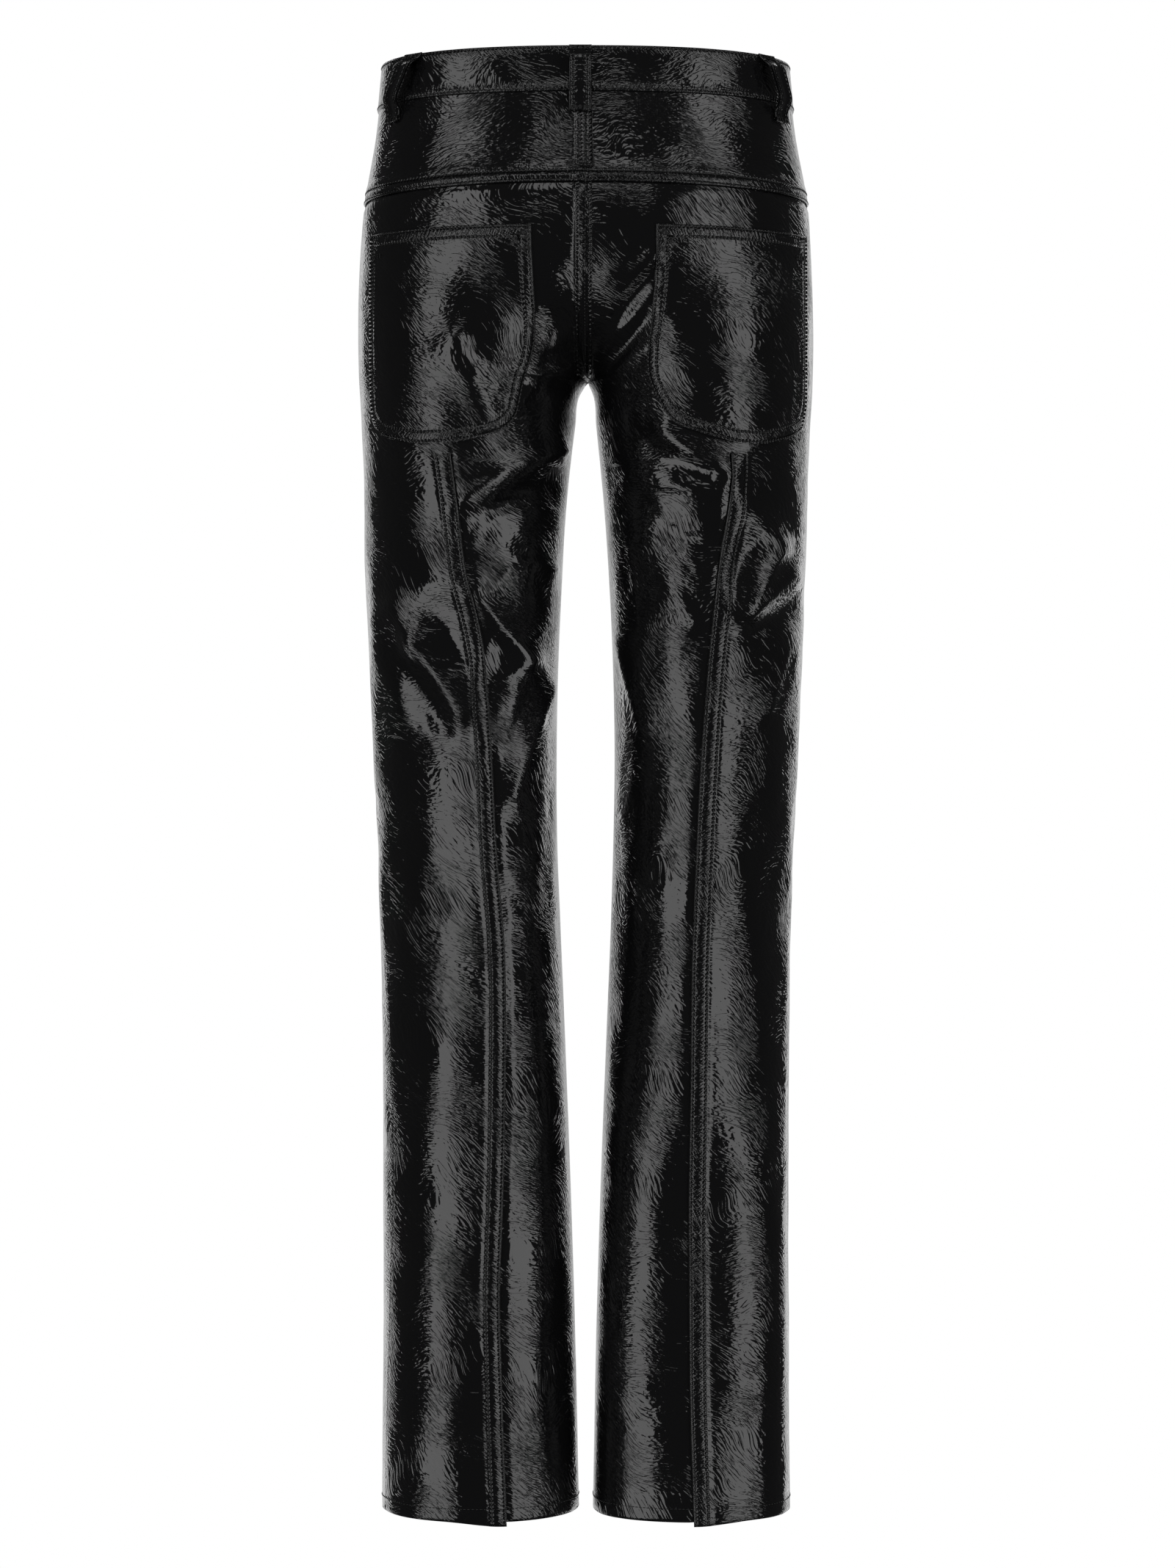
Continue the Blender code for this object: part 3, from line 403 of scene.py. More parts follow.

# %% [markdown]
# ## The fine creases
# Between the big folds the coating shows sharper, shallower creases, which the solids leave out.
# They are listed one by one too, and they are what breaks the bands of light into patches.

# %% Creases
CREASES = [
    # seat, wearer's right: drag lines from the crotch to the pocket
    *folds_on(RIGHT, BACK,
        (8, 192, 46, 150, 4.2, 1.7), (14, 208, 45, 172, 4.2, 1.8), (18, 222, 44, 192, 4.2, -1.4),
        (10, 168, 36, 146, 4.2, -1.3), (22, 226, 47, 206, 4, 1.4), (8, 152, 26, 140, 4, 1),
    ),
    # seat, wearer's left: small crumples beside the pocket
    *folds_on(LEFT, BACK,
        (12, 194, 25, 210, 4, 1.4), (26, 188, 15, 220, 4, -1.3), (7, 222, 33, 230, 4, 1.3),
        (16, 236, 38, 250, 4.5, -1.2), (30, 202, 37, 224, 3.5, 1.1), (12, 172, 34, 184, 3.6, 1.2),
        (14, 156, 32, 166, 3.6, -0.9),
    ),
    # pockets: creases running from the pocket's point
    *folds_on(LEFT, BACK,
        (94, 205, 78, 232, 4, 1.1), (96, 205, 60, 222, 4, 0.9), (88, 226, 70, 240, 3.5, -0.9),
    ),
    *folds_on(RIGHT, BACK,
        (50, 210, 78, 240, 5, 0.8),
    ),
    # thigh, wearer's left: the drag's crest, crumples in its hollow, the star's legs, streaks
    *folds_on(LEFT, BACK,
        (10, 277, 47, 292, 2.8, 1.2), (47, 292, 88, 318, 2.8, 1.2), (36, 322, 46, 334, 4, 1),
        (26, 330, 38, 340, 4, -0.9), (34, 346, 46, 342, 3.5, 0.8), (70, 330, 80, 350, 4, 0.9),
        (24, 365, 50, 361, 2.6, 1), (55, 366, 66, 383, 2.6, 1), (80, 387, 43, 430, 2.8, 1.1),
        (44, 434, 60, 443, 2.6, 1), (50, 452, 60, 490, 3, 0.9), (26, 450, 36, 474, 2.8, 1.1),
        (36, 474, 53, 526, 3, 1), (131, 400, 122, 419, 3, 1), (122, 419, 92, 460, 3, 1),
        (116, 442, 98, 469, 3.4, -1), (106, 398, 84, 408, 4.5, 0.9), (98, 416, 86, 432, 4, -0.9),
        (116, 470, 100, 520, 4, 0.7),
    ),
    # thigh, wearer's right: two crests from the crotch, the loop beside the seam, streaks
    *folds_on(RIGHT, BACK,
        (55, 271, 73, 286, 2.6, 1), (73, 286, 100, 303, 2.6, 1.2), (33, 300, 54, 308, 2.8, 1),
        (54, 308, 94, 313, 2.8, 1), (44, 309, 59, 334, 3.4, 1), (60, 347, 78, 347, 2.8, -1.2),
        (78, 347, 88, 355, 2.8, 1), (60, 352, 72, 368, 3, -0.9), (56, 377, 77, 405, 4, 0.8),
        (134, 355, 116, 390, 2.8, 1.1), (144, 370, 114, 399, 2.8, 1.2), (126, 352, 106, 358, 4, -1),
        (29, 347, 34, 377, 2.2, 0.8), (34, 377, 37, 407, 2.2, 0.8), (21, 414, 33, 456, 2.8, 1),
        (33, 456, 39, 480, 2.8, 0.9), (141, 424, 128, 467, 3, 1),
    ),
    # fronts: the same kinds of crease
    *folds_on(LEFT, FRONT,
        (14, 230, 60, 200, 3.5, 1.1), (18, 250, 86, 228, 3.5, 1.2), (30, 276, 74, 268, 3.5, -1),
        (44, 502, 114, 520, 4, 1.1), (56, 548, 104, 552, 4, -1),
    ),
    *folds_on(RIGHT, FRONT,
        (14, 226, 66, 192, 3.5, 1.1), (18, 254, 82, 238, 3.5, 1.2), (30, 284, 82, 272, 3.5, -1),
        (42, 514, 104, 502, 4, 1.1), (64, 550, 116, 542, 4, -1),
    ),
]
print("creases:", len(CREASES))

# %% [markdown]
# ## The body form
# A place on the cloth is a side, a turn and a drop: turn -1 is the centre front or the inseam, 0
# the side, and 1 the centre back or the inseam again. The hip's half-section parts into a closed
# leg at the fork. The folds then push the cloth along the form's normals.

# %% Form functions
def along(rows, column, drop):
    """Smooth curve through one column of a table, read at one drop or at many."""
    at = np.array([row.drop for row in rows])
    value = np.array([getattr(row, column) for row in rows])
    slope = np.gradient(value, at)
    i = np.clip(np.searchsorted(at, drop) - 1, 0, len(at) - 2)
    span = at[i + 1] - at[i]
    t = np.clip((drop - at[i]) / span, 0.0, 1.0)
    start = value[i] * (1 + 2 * t) * (1 - t) ** 2 + slope[i] * span * t * (1 - t) ** 2
    end = value[i + 1] * t * t * (3 - 2 * t) + slope[i + 1] * span * t * t * (t - 1)
    return start + end


def ease(t):
    t = np.clip(t, 0, 1)
    return t * t * (3 - 2 * t)


def unit(vectors):
    return vectors / np.maximum(np.linalg.norm(vectors, axis=-1, keepdims=True), 1e-9)


def who(side):
    return "left" if side > 0 else "right"


def body_form(side, turn, drop):
    """Points of the plain form: a half hip section that parts into a closed leg at the fork."""
    turn = np.clip(turn, -1.0, 1.0)
    drop = np.asarray(drop, float)
    out = along(SECTIONS, who(side) + "_out", drop)
    inner = along(SECTIONS, who(side) + "_in", drop)
    depth = np.where(turn > 0, along(SECTIONS, "back", drop), -along(SECTIONS, "front", drop))
    angle = np.abs(turn) * math.pi
    hip_x = out * np.clip(np.cos(angle / 2), 0, 1) ** HIP_POWER
    hip_y = depth * np.sin(angle / 2) ** HIP_POWER
    lean = np.where(turn > 0, along(LEG_BACKS, who(side) + "_lean", drop), 0.0)
    power = np.where(turn > 0, along(LEG_BACKS, who(side) + "_power", drop), 1.0)
    leg_x = (out + inner) / 2 + (out - inner) / 2 * np.cos(angle) + lean * np.sin(angle) ** 2
    leg_y = depth * np.clip(np.sin(angle), 0, 1) ** power
    share = np.clip((drop - FORK_START) / (CROTCH_DROP - FORK_START), 0, 1)
    at_middle = 1 - np.sqrt(1 - share**2)
    elsewhere = ease((drop - PART_START) / (PART_END - PART_START))
    parted = elsewhere + (at_middle - elsewhere) * np.abs(turn) ** PART_POWER
    x = hip_x + (leg_x - hip_x) * parted
    y = hip_y + (leg_y - hip_y) * parted
    return np.stack(np.broadcast_arrays(side * x, y, -drop), -1)


def from_middle(side, turn, drop):
    """How far a place lies from the middle of the body, seen from behind."""
    return np.abs(body_form(side, turn, drop)[..., 0])


def seam_x(side, drop):
    """How far the leg seam's edge lies from the middle."""
    return along(LEG_SEAMS, who(side), drop)


def outward(side, turn, drop):
    """Unit normals of the plain form."""
    turn, drop = np.broadcast_arrays(np.asarray(turn, float), np.asarray(drop, float))
    across = body_form(side, turn + STEP, drop) - body_form(side, turn - STEP, drop)
    down = body_form(side, turn, drop + STEP) - body_form(side, turn, np.maximum(drop - STEP, 0))
    return unit(side * np.cross(down, across))


def fold_fade(turn):
    """Folds die out towards the side seam and the middle."""
    return ease(np.abs(turn) / FOLD_FADE_SIDE) * ease((1 - np.abs(turn)) / FOLD_FADE_MIDDLE)


def fold_height(side, turn, x, drop, folds):
    """How far the folds move the cloth out of the plain form."""
    height = np.zeros(np.shape(x))
    for fold in folds:
        if fold.side != side:
            continue
        run_x = fold.x1 - fold.x0
        run_drop = fold.drop1 - fold.drop0
        share = (x - fold.x0) * run_x + (drop - fold.drop0) * run_drop
        share = np.clip(share / (run_x**2 + run_drop**2), 0, 1)
        away = np.hypot(x - fold.x0 - share * run_x, drop - fold.drop0 - share * run_drop)
        on_face = np.where(turn > 0, BACK, FRONT) == fold.face
        height = height + on_face * fold.height * np.exp(-((away / fold.width) ** 2))
    return height * fold_fade(turn)


def seam_ridge(side, turn, x, drop):
    """How far the leg seam stands out at the back."""
    away = x - seam_x(side, drop) - SEAM_RIDGE_MIDDLE
    ridge = along(SEAM_RIDGES, who(side), drop) * np.exp(-((away / SEAM_RIDGE_WIDTH) ** 2))
    return np.where(turn > 0, ridge, 0.0) * fold_fade(turn)


NOISE_CELLS = 64


def lattice_noise(x, y, seed):
    """Smooth noise from -1 to 1 with a grain of one unit, the same each run."""
    values = np.random.default_rng(seed).uniform(-1, 1, (NOISE_CELLS, NOISE_CELLS))
    cell_x = np.floor(x).astype(int)
    cell_y = np.floor(y).astype(int)
    share_x = ease(x - cell_x)
    share_y = ease(y - cell_y)

    def row(up):
        near, far = (values[(cell_x + k) % NOISE_CELLS, (cell_y + up) % NOISE_CELLS] for k in (0, 1))
        return near * (1 - share_x) + far * share_x

    return row(0) * (1 - share_y) + row(1) * share_y


SWELLS = table(
    "across down slant height seed",
    (0.026, 0.075, 0.25, 0.00110, 11),
    (0.013, 0.027, -0.50, 0.00042, 12),
)
SWELL_FADE_MIDDLE = 0.18
SWELL_DROPS = (0.033, 0.060, 0.200, 0.300, 0.560, 0.700, 1.045)
SWELL_SHARES = (0.0, 0.15, 0.15, 0.70, 0.80, 0.35, 0.35)  # how much of it shows at those drops
HALF_ROUND = 0.24  # from the side seam to the middle, along the cloth
SIDES_APART = 2.0  # keeps the two legs' swells unlike


def swell(side, turn, points):
    """Slight unevenness of the stuffed-out cloth, most of it round the knee."""
    round_the_leg = turn * HALF_ROUND + side * SIDES_APART
    drop = -points[..., 2]
    height = np.zeros(turn.shape)
    for row in SWELLS:
        x = (round_the_leg + row.slant * drop) / row.across
        height = height + row.height * lattice_noise(x, drop / row.down, row.seed)
    share = np.interp(drop, SWELL_DROPS, SWELL_SHARES)
    return height * share * ease((1 - np.abs(turn)) / SWELL_FADE_MIDDLE)


def skin(side, turn, drop, out=0.0):
    """Points of the folded cloth, moved out by a distance."""
    turn, drop, out = np.broadcast_arrays(*(np.asarray(value, float) for value in (turn, drop, out)))
    plain = body_form(side, turn, drop)
    x = np.abs(plain[..., 0])
    lift = fold_height(side, turn, x, drop, FOLDS) + seam_ridge(side, turn, x, drop)
    lift = lift + fold_height(side, turn, x, drop, CREASES) + swell(side, turn, plain) + out
    return plain + outward(side, turn, drop) * lift[..., None]


def turn_at(side, face, x, drop):
    """The turn at which the plain form is this far from the middle, by halving."""
    low = np.zeros(np.broadcast(x, drop).shape)
    high = np.ones(low.shape)
    for _ in range(40):
        middle = (low + high) / 2
        beyond = from_middle(side, face * middle, drop) > x
        low = np.where(beyond, middle, low)
        high = np.where(beyond, high, middle)
    return face * (low + high) / 2


def kept_skin(side, turn, drop, out=0.0):
    """Points of the folded cloth, kept on their own side of the centre seam."""
    points = skin(side, turn, drop, out)
    points[..., 0] = side * np.maximum(side * points[..., 0], SEAM_GAP / 2)
    return points


def close_middle(side, points, levels, column):
    """The wearer's left half reaches over the right one at the centre seam."""
    if side == LEFT:
        above = ease((CROTCH_DROP + 0.001 - levels[:, column]) / 0.001)
        fork = ease((levels[:, column] - CROTCH_DROP + 0.005) / 0.004)
        points[:, column, 0] -= MIDDLE_OVERLAP * above * (1 + fork)


def draw_in(points, column, distance=SEAM_GAP / 2):
    """Moves a border column into its panel, or past the seam if the distance is negative."""
    neighbour = 1 if column == 0 else -2
    points[:, column] += unit(points[:, neighbour] - points[:, column]) * distance


print("hip is", round(2 * float(body_form(LEFT, 0.0, 0.2)[0]), 3), "m wide")

# %% [markdown]
# ## From two grids to a wall
# Cloth has an outside, an inside and an edge. Each piece is two matching grids of points, joined
# by a rim. A free edge is rounded a little, so that it catches light as real cut vinyl does, and
# an edge that is sewn to its neighbour stays sharp, so that only a dark line shows. Two patches
# that share a border become one sheet. Each point also keeps two sets of numbers for the
# material: where it lies on the cloth, and where it lies beside the nearest seam.

# %% Wall builder
RIM_ROUNDING = 0.0006
SEWN_SINK = 0.0002
Patch = namedtuple("Patch", "outer inner cloth seam")
pieces = {}


def make_wall(name, patches, outside_material, lining_material, is_sewn=None):
    """One mesh with an outside, a lining and a rim, kept under its name in pieces."""
    outer, inner, cloth, seam = (
        np.concatenate([grid.reshape(-1, 3) for grid in grids]) for grids in zip(*patches)
    )
    _, first, number = np.unique(
        np.round(outer, 6), axis=0, return_index=True, return_inverse=True
    )
    number = number.reshape(-1)  # points at the same place become one
    outer, inner, cloth, seam = outer[first], inner[first], cloth[first], seam[first]
    shapes = [patch.outer.shape[:2] for patch in patches]
    ends = np.cumsum([rows * columns for rows, columns in shapes])
    numbers = np.split(number, ends[:-1])
    faces = np.concatenate([numbered_grid(*grid) for grid in zip(shapes, numbers)])

    # the rim runs along the edges that only one face has
    edges = np.concatenate([faces[:, [k, (k + 1) % 4]] for k in range(4)])
    count = len(outer)
    forward = edges[:, 0].astype(np.int64) * count + edges[:, 1]
    backward = edges[:, 1].astype(np.int64) * count + edges[:, 0]
    rim_edges = edges[~np.isin(forward, backward)]
    rim_points = np.unique(rim_edges)
    centres = outer[faces].mean(1)
    pull = np.zeros(outer.shape)
    for corner in range(4):
        np.add.at(pull, faces[:, corner], centres - outer[faces[:, corner]])
    inwards = unit(pull[rim_points])
    middle = (outer[rim_points] + inner[rim_points]) / 2
    sewn = np.zeros(count, bool) if is_sewn is None else is_sewn(outer)
    rounding = np.where(sewn[rim_points], 0.0, RIM_ROUNDING)[:, None]
    sink = np.where(sewn[rim_points], SEWN_SINK, 0.0)[:, None]
    through = unit(inner[rim_points] - outer[rim_points])
    outer[rim_points] += inwards * rounding + through * sink
    inner[rim_points] += inwards * rounding

    rim_number = np.full(count, -1)
    rim_number[rim_points] = 2 * count + np.arange(len(rim_points))
    a, b = rim_edges.T
    upper_rim = np.stack([b, a, rim_number[a], rim_number[b]], -1)
    lower_rim = np.stack([rim_number[b], rim_number[a], a + count, b + count], -1)
    lining = faces[:, ::-1] + count
    points = np.concatenate([outer, inner, middle])
    all_faces = np.concatenate([faces, upper_rim, lining, lower_rim])
    mesh = bpy.data.meshes.new(name)
    mesh.from_pydata(points.tolist(), [], all_faces.tolist())
    for layer, values in (("cloth", cloth), ("seam", seam)):
        data = mesh.attributes.new(layer, "FLOAT_VECTOR", "POINT")
        full = np.concatenate([values, values, values[rim_points]])
        data.data.foreach_set("vector", full.astype(np.float32).reshape(-1))
    mesh.materials.append(outside_material)
    mesh.materials.append(lining_material)
    of_lining = np.zeros(len(all_faces), np.int32)
    lining_start = len(faces) + len(upper_rim)
    of_lining[lining_start : lining_start + len(lining)] = 1
    mesh.polygons.foreach_set("material_index", of_lining)
    a, b, c, d = outer[faces].transpose(1, 0, 2)
    if ((outer - inner)[faces[:, 0]] * np.cross(c - a, d - b)).sum() < 0:
        mesh.flip_normals()
    mesh.shade_smooth()
    mesh.update()
    if is_sewn is not None:
        ends = np.zeros(len(mesh.edges) * 2, np.int32)
        mesh.edges.foreach_get("vertices", ends)
        on_rim = np.zeros(len(points), bool)
        on_rim[rim_points] = sewn[rim_points]
        sharp = mesh.attributes.new("sharp_edge", "BOOLEAN", "EDGE")
        sharp.data.foreach_set("value", on_rim[ends.reshape(-1, 2)].all(1))
    pieces[name] = add_object(name, mesh)


def places(*values):
    """Numbers beside a seam or on the cloth, as one grid of vectors."""
    return np.stack(np.broadcast_arrays(*values), -1)


def make_both(name, make, *materials):
    """The same piece for the wearer's left and for the right."""
    for side in SIDES:
        patches, is_sewn = make(side)
        make_wall(f"{name}_{who(side)}", patches, *materials, BACKING, is_sewn)
    print(f"{name}:", len(pieces[name + "_left"].data.polygons), "faces a side")


print("wall builder ready")

# %% [markdown]
# ## Crinkled patent vinyl
# The coating is a clear, hard skin over a soft backing, so it ripples finely wherever it bends.
# The ripples lie nearly parallel, about two millimetres apart, and some patches have far more of
# them than others. They are a height that a Bump node turns into slopes. The shader group puts
# out that height as a number, which each material then mixes with its own seams.

# %% Crinkle group
def new_group(name, vector, numbers, outputs):
    """A shader group, its vector input, and its number inputs by name."""
    group = bpy.data.node_groups.new(name, "ShaderNodeTree")
    add_socket = group.interface.new_socket
    add_socket(vector, in_out="INPUT", socket_type="NodeSocketVector")
    for socket, value in numbers.items():
        add_socket(socket, in_out="INPUT", socket_type="NodeSocketFloat").default_value = value
    for socket in outputs:
        add_socket(socket, in_out="OUTPUT", socket_type="NodeSocketFloat")
    ends = group.nodes.new("NodeGroupInput").outputs
    return group, ends[vector], {socket: Number(group, ends[socket]) for socket in numbers}


def add_noise(tree, vector, scale, detail, warp=0.0):
    inputs = {"Vector": vector, "Scale": scale, "Detail": detail, "Distortion": warp}
    return Number(tree, new_node(tree, "ShaderNodeTexNoise", inputs).outputs["Fac"])


def add_vector(tree, x, y):
    return new_node(tree, "ShaderNodeCombineXYZ", {0: x, 1: y}).outputs[0]


def split_vector(tree, vector):
    node = new_node(tree, "ShaderNodeSeparateXYZ", {0: vector})
    return [Number(tree, socket) for socket in node.outputs]


def crinkle_group():
    """Height of the ripples in millimetres, from a place on the cloth in metres."""
    numbers = {"Ripple Length": 0.0040, "Ripple Width": 0.0013}
    numbers.update({"Slant": -0.45, "Depth": 0.28, "Valleys": 0.10})
    group, cloth, given = new_group("crinkle", "Cloth", numbers, ("Height", "Wear"))
    u, v, _ = split_vector(group, cloth)
    drift = (add_noise(group, cloth, 15.0, 1.0) - 0.5) * 0.07
    level = v + u * given["Slant"] + drift

    def stretched(length, width, detail, warp):
        """Noise stretched along the ripples, in ripple lengths and ripple widths."""
        x = u / (given["Ripple Length"] * length)
        y = level / (given["Ripple Width"] * width)
        return add_noise(group, add_vector(group, x, y), 1.0, detail, warp)

    def creased(noise, sharpness):
        """Flat pads with narrow valleys between them."""
        return ((noise - 0.5).apply("ABSOLUTE") * sharpness).apply("MINIMUM", 1.0)

    ripple = stretched(1.0, 1.0, 0.0, 0.3)
    wave = stretched(1.8, 2.2, 0.0, 0.2)
    valley = creased(stretched(1.7, 1.9, 0.0, 0.4), 10.0)
    crack = creased(stretched(4.0, 3.0, 1.0, 0.4), 13.0)
    grain = add_noise(group, cloth, 900.0, 1.0)
    patchy = add_noise(group, cloth, 27.0, 2.0)
    strength = remap(group, patchy, 0.70, 1.35, 0.38, 0.64)
    height = ripple + wave * 0.4 + valley * given["Valleys"] + crack * 0.45
    height = (height * strength + grain * 0.10) * given["Depth"]
    feed(group, group.nodes.new("NodeGroupOutput"), {"Height": height, "Wear": patchy})
    return group


CRINKLE = crinkle_group()
print("crinkle group:", len(CRINKLE.nodes), "nodes")

# %% [markdown]
# ## Sewn seams
# Thread pulls a groove into the vinyl along each row of stitches, and the layers between the rows
# pucker into short ribs across the seam. A second group makes both from the distance to the
# seam's edge and the length along it, so every seam on the trousers can share it.

# %% Seam group
STITCH_PITCH = 0.0029


def seam_group():
    """Height beside a seam in millimetres, from its attribute: across, along and strength."""
    numbers = {"First Row": 0.0015, "Second Row": 0.0085}
    numbers.update({"Groove Width": 0.0008, "Groove Depth": 0.80, "Stitch Pitch": STITCH_PITCH})
    numbers.update({"Rib Spacing": 0.0014, "Rib Reach": 0.0055, "Rib Depth": 0.70})
    numbers.update({"Welt Width": 0.0030, "Welt Height": 0.40})
    group, seam, given = new_group("sewn_seam", "Seam", numbers, ("Height",))
    across, length, strength = split_vector(group, seam)

    def bell(distance, width):
        ratio = distance / given[width]
        return (ratio.apply("ABSOLUTE").apply("POWER", 2.0) * -1.0).apply("EXPONENT")

    first, second = given["First Row"], given["Second Row"]
    grooves = bell(across - second, "Groove Width") + bell(across - first, "Groove Width")
    beat = (length / given["Stitch Pitch"] * (2 * math.pi)).apply("SINE")
    pulled = beat.apply("MULTIPLY_ADD", 0.5, 0.6)
    off_middle = across - (first + second) * 0.5
    slanting = across.apply("MULTIPLY_ADD", 0.6, length)
    place = add_vector(group, slanting / given["Rib Spacing"], across * 160.0)
    rib = add_noise(group, place, 1.0, 1.0, 0.25) * bell(off_middle, "Rib Reach")
    raised = rib * given["Rib Depth"] + bell(off_middle, "Welt Width") * given["Welt Height"]
    height = (raised - grooves * given["Groove Depth"] * pulled) * strength
    feed(group, group.nodes.new("NodeGroupOutput"), {"Height": height})
    return group


SEAM = seam_group()
print("seam group:", len(SEAM.nodes), "nodes")

# %% [markdown]
# ## The materials
# One function makes the vinyl of every panel, with its own crinkle direction and its own rows of
# stitches. The inside of the cloth is a matt knitted backing.

# %% Vinyl, backing, thread and metal
VINYL_BLACK = (0.0045, 0.0045, 0.0048, 1)
KNIT_DARK, KNIT_LIGHT = (0.018, 0.018, 0.019, 1), (0.040, 0.040, 0.042, 1)
THREAD_DARK, THREAD_LIGHT = (0.003, 0.003, 0.003, 1), (0.012, 0.012, 0.012, 1)
METAL = (0.10, 0.10, 0.105, 1)


def new_material(name):
    material = bpy.data.materials.new(name)
    material.use_nodes = True
    return material, material.node_tree, material.node_tree.nodes["Principled BSDF"]


def read_attribute(tree, name):
    return new_node(tree, "ShaderNodeAttribute", attribute_name=name).outputs["Vector"]


def object_noise(tree, scale, detail):
    place = new_node(tree, "ShaderNodeTexCoord").outputs["Object"]
    return add_noise(tree, place, scale, detail)


def mixed(tree, share, dark, light):
    inputs = {"Factor": share, "A": dark, "B": light}
    return new_node(tree, "ShaderNodeMix", inputs, data_type="RGBA").outputs["Result"]


def bump(tree, height, distance):
    inputs = {"Height": height, "Distance": distance, "Strength": 1.0}
    return new_node(tree, "ShaderNodeBump", inputs).outputs["Normal"]


def vinyl_material(name, crinkle, seam):
    """Black patent vinyl: dark, smooth and finely crinkled."""
    material, tree, shader = new_material(name)
    inputs = {"Cloth": read_attribute(tree, "cloth"), **crinkle}
    wrinkles = new_node(tree, "ShaderNodeGroup", inputs, node_tree=CRINKLE).outputs
    inputs = {"Seam": read_attribute(tree, "seam"), **seam}
    sewing = new_node(tree, "ShaderNodeGroup", inputs, node_tree=SEAM).outputs
    height = Number(tree, wrinkles["Height"]) + sewing["Height"]
    rough = remap(tree, wrinkles["Wear"], 0.05, 0.09, 0.3, 0.7)
    inputs = {"Base Color": VINYL_BLACK, "IOR": 1.5, "Roughness": rough}
    feed(tree, shader, {"Normal": bump(tree, height, 0.001), **inputs})
    return material


def backing_material():
    """Matt dark knit on the inside of the cloth."""
    material, tree, shader = new_material("knit_backing")
    inputs = {"Vector": read_attribute(tree, "cloth"), "Scale": 260.0, "Distortion": 1.5}
    loops = new_node(tree, "ShaderNodeTexWave", inputs).outputs["Fac"]
    colour = mixed(tree, loops, KNIT_DARK, KNIT_LIGHT)
    normal = bump(tree, loops, 0.0004)
    feed(tree, shader, {"Base Color": colour, "Roughness": 0.9, "Normal": normal})
    return material


def thread_material():
    """Black sewing thread, a little shiny."""
    material, tree, shader = new_material("black_thread")
    colour = mixed(tree, object_noise(tree, 1400.0, 1.0), THREAD_DARK, THREAD_LIGHT)
    feed(tree, shader, {"Base Color": colour, "Roughness": 0.35})
    return material


def button_material():
    """Dark polished metal."""
    material, tree, shader = new_material("dark_metal")
    rough = remap(tree, object_noise(tree, 900.0, 2.0), 0.22, 0.36)
    feed(tree, shader, {"Base Color": METAL, "Metallic": 1.0, "Roughness": rough})
    return material


BACKING = backing_material()
THREAD = thread_material()
print("materials:", BACKING.name, THREAD.name)

# %% [markdown]
# ## Leg fronts
# The fronts are hidden in the photograph. Each is one panel from the waistband to the hem,
# between the centre seam or inseam and the side seam.

# %% Rows, columns and fronts
ROW_STEP = 0.0026
FORK_ROWS = 44
FRONT_COLUMNS = 96
CLOTH_APART = 3.0  # keeps the two sides' ripples unlike
FLY_WIDTH = 0.036
FLY_DROP = 0.165
FLY_CORNER = 0.030
FLY_RAISE = 0.0008


def spaced(start, end, step):
    count = max(2, int(round(abs(end - start) / step)) + 1)
    return np.linspace(start, end, count)


def leg_rows(start):
    """Levels from a start above the fork to the hem, evenly round the crotch's U."""
    angles = np.linspace(0, math.pi / 2, FORK_ROWS)
    fork = FORK_START + (CROTCH_DROP - FORK_START) * np.sin(angles)
    seat = spaced(start, FORK_START, ROW_STEP)
    thigh = spaced(CROTCH_DROP, SLIT_ROOT, ROW_STEP)
    leg = spaced(SLIT_ROOT, HEM_DROP, ROW_STEP)
    return np.concatenate([seat, fork[1:], thigh[1:], leg[1:]])


def rows_of(drops, count):
    """Each drop once for every column."""
    return np.repeat(drops[:, None], count, 1)


def cloth_places(points, levels, side):
    """Where points lie on the cloth: length along the row, and drop."""
    steps = np.linalg.norm(np.diff(points, axis=1), axis=-1)
    run = np.concatenate([np.zeros((len(points), 1)), np.cumsum(steps, 1)], 1)
    return places((run + CLOTH_APART) * (side or 1), levels, 0.0)


def fly_raise(side, x, drop):
    """The fly's extra layers stand out a little on the wearer's left front."""
    corner = np.clip((drop - (FLY_DROP - FLY_CORNER)) / FLY_CORNER, 0, 1)
    edge = FLY_WIDTH * np.sqrt(np.maximum(1 - corner**2, 0))
    return np.where(side == LEFT, FLY_RAISE, 0.0) * ease((edge - x) / 0.002)


def hem_is_free(points):
    """Every border is sewn but the hem."""
    return -points[:, 2] < HEM_DROP - 0.0005


def front_panel(side):
    drops = leg_rows(BAND_HEIGHT + SEAM_GAP)
    seam_turn = along(OUTSEAMS, who(side), drops)
    turns = -1 + (seam_turn[:, None] + 1) * np.linspace(0, 1, FRONT_COLUMNS)[None, :]
    levels = rows_of(drops, FRONT_COLUMNS)
    raised = fly_raise(side, from_middle(side, turns, levels), levels)
    outer = kept_skin(side, turns, levels, raised)
    inner = kept_skin(side, turns, levels, -WALL)
    for column in (0, -1):
        draw_in(outer, column)
        draw_in(inner, column, -SEAM_TUCK)
    inner[0, :, 2] += SEAM_TUCK
    close_middle(side, outer, levels, 0)
    cloth = cloth_places(outer, levels, side)
    across = np.abs(cloth[:, -1:, 0] - cloth[..., 0])
    seam = places(across, levels, np.where(across < 0.03, 0.6, 0.0))
    return [Patch(outer, inner, cloth, seam)], hem_is_free


FRONT_VINYL = vinyl_material(
    "front_vinyl",
    {"Slant": 0.3},
    {"First Row": -1.0, "Second Row": 1.0, "Groove Depth": 0.0, "Rib Reach": 0.006},
)
make_both("front", front_panel, FRONT_VINYL)

# %% [markdown]
# ## Leg backs
# Each back is one sheet with a long slit from under the pocket to the hem. The slit's outer edge
# laps over its inner edge and is sewn down with two rows, as far as the vent.

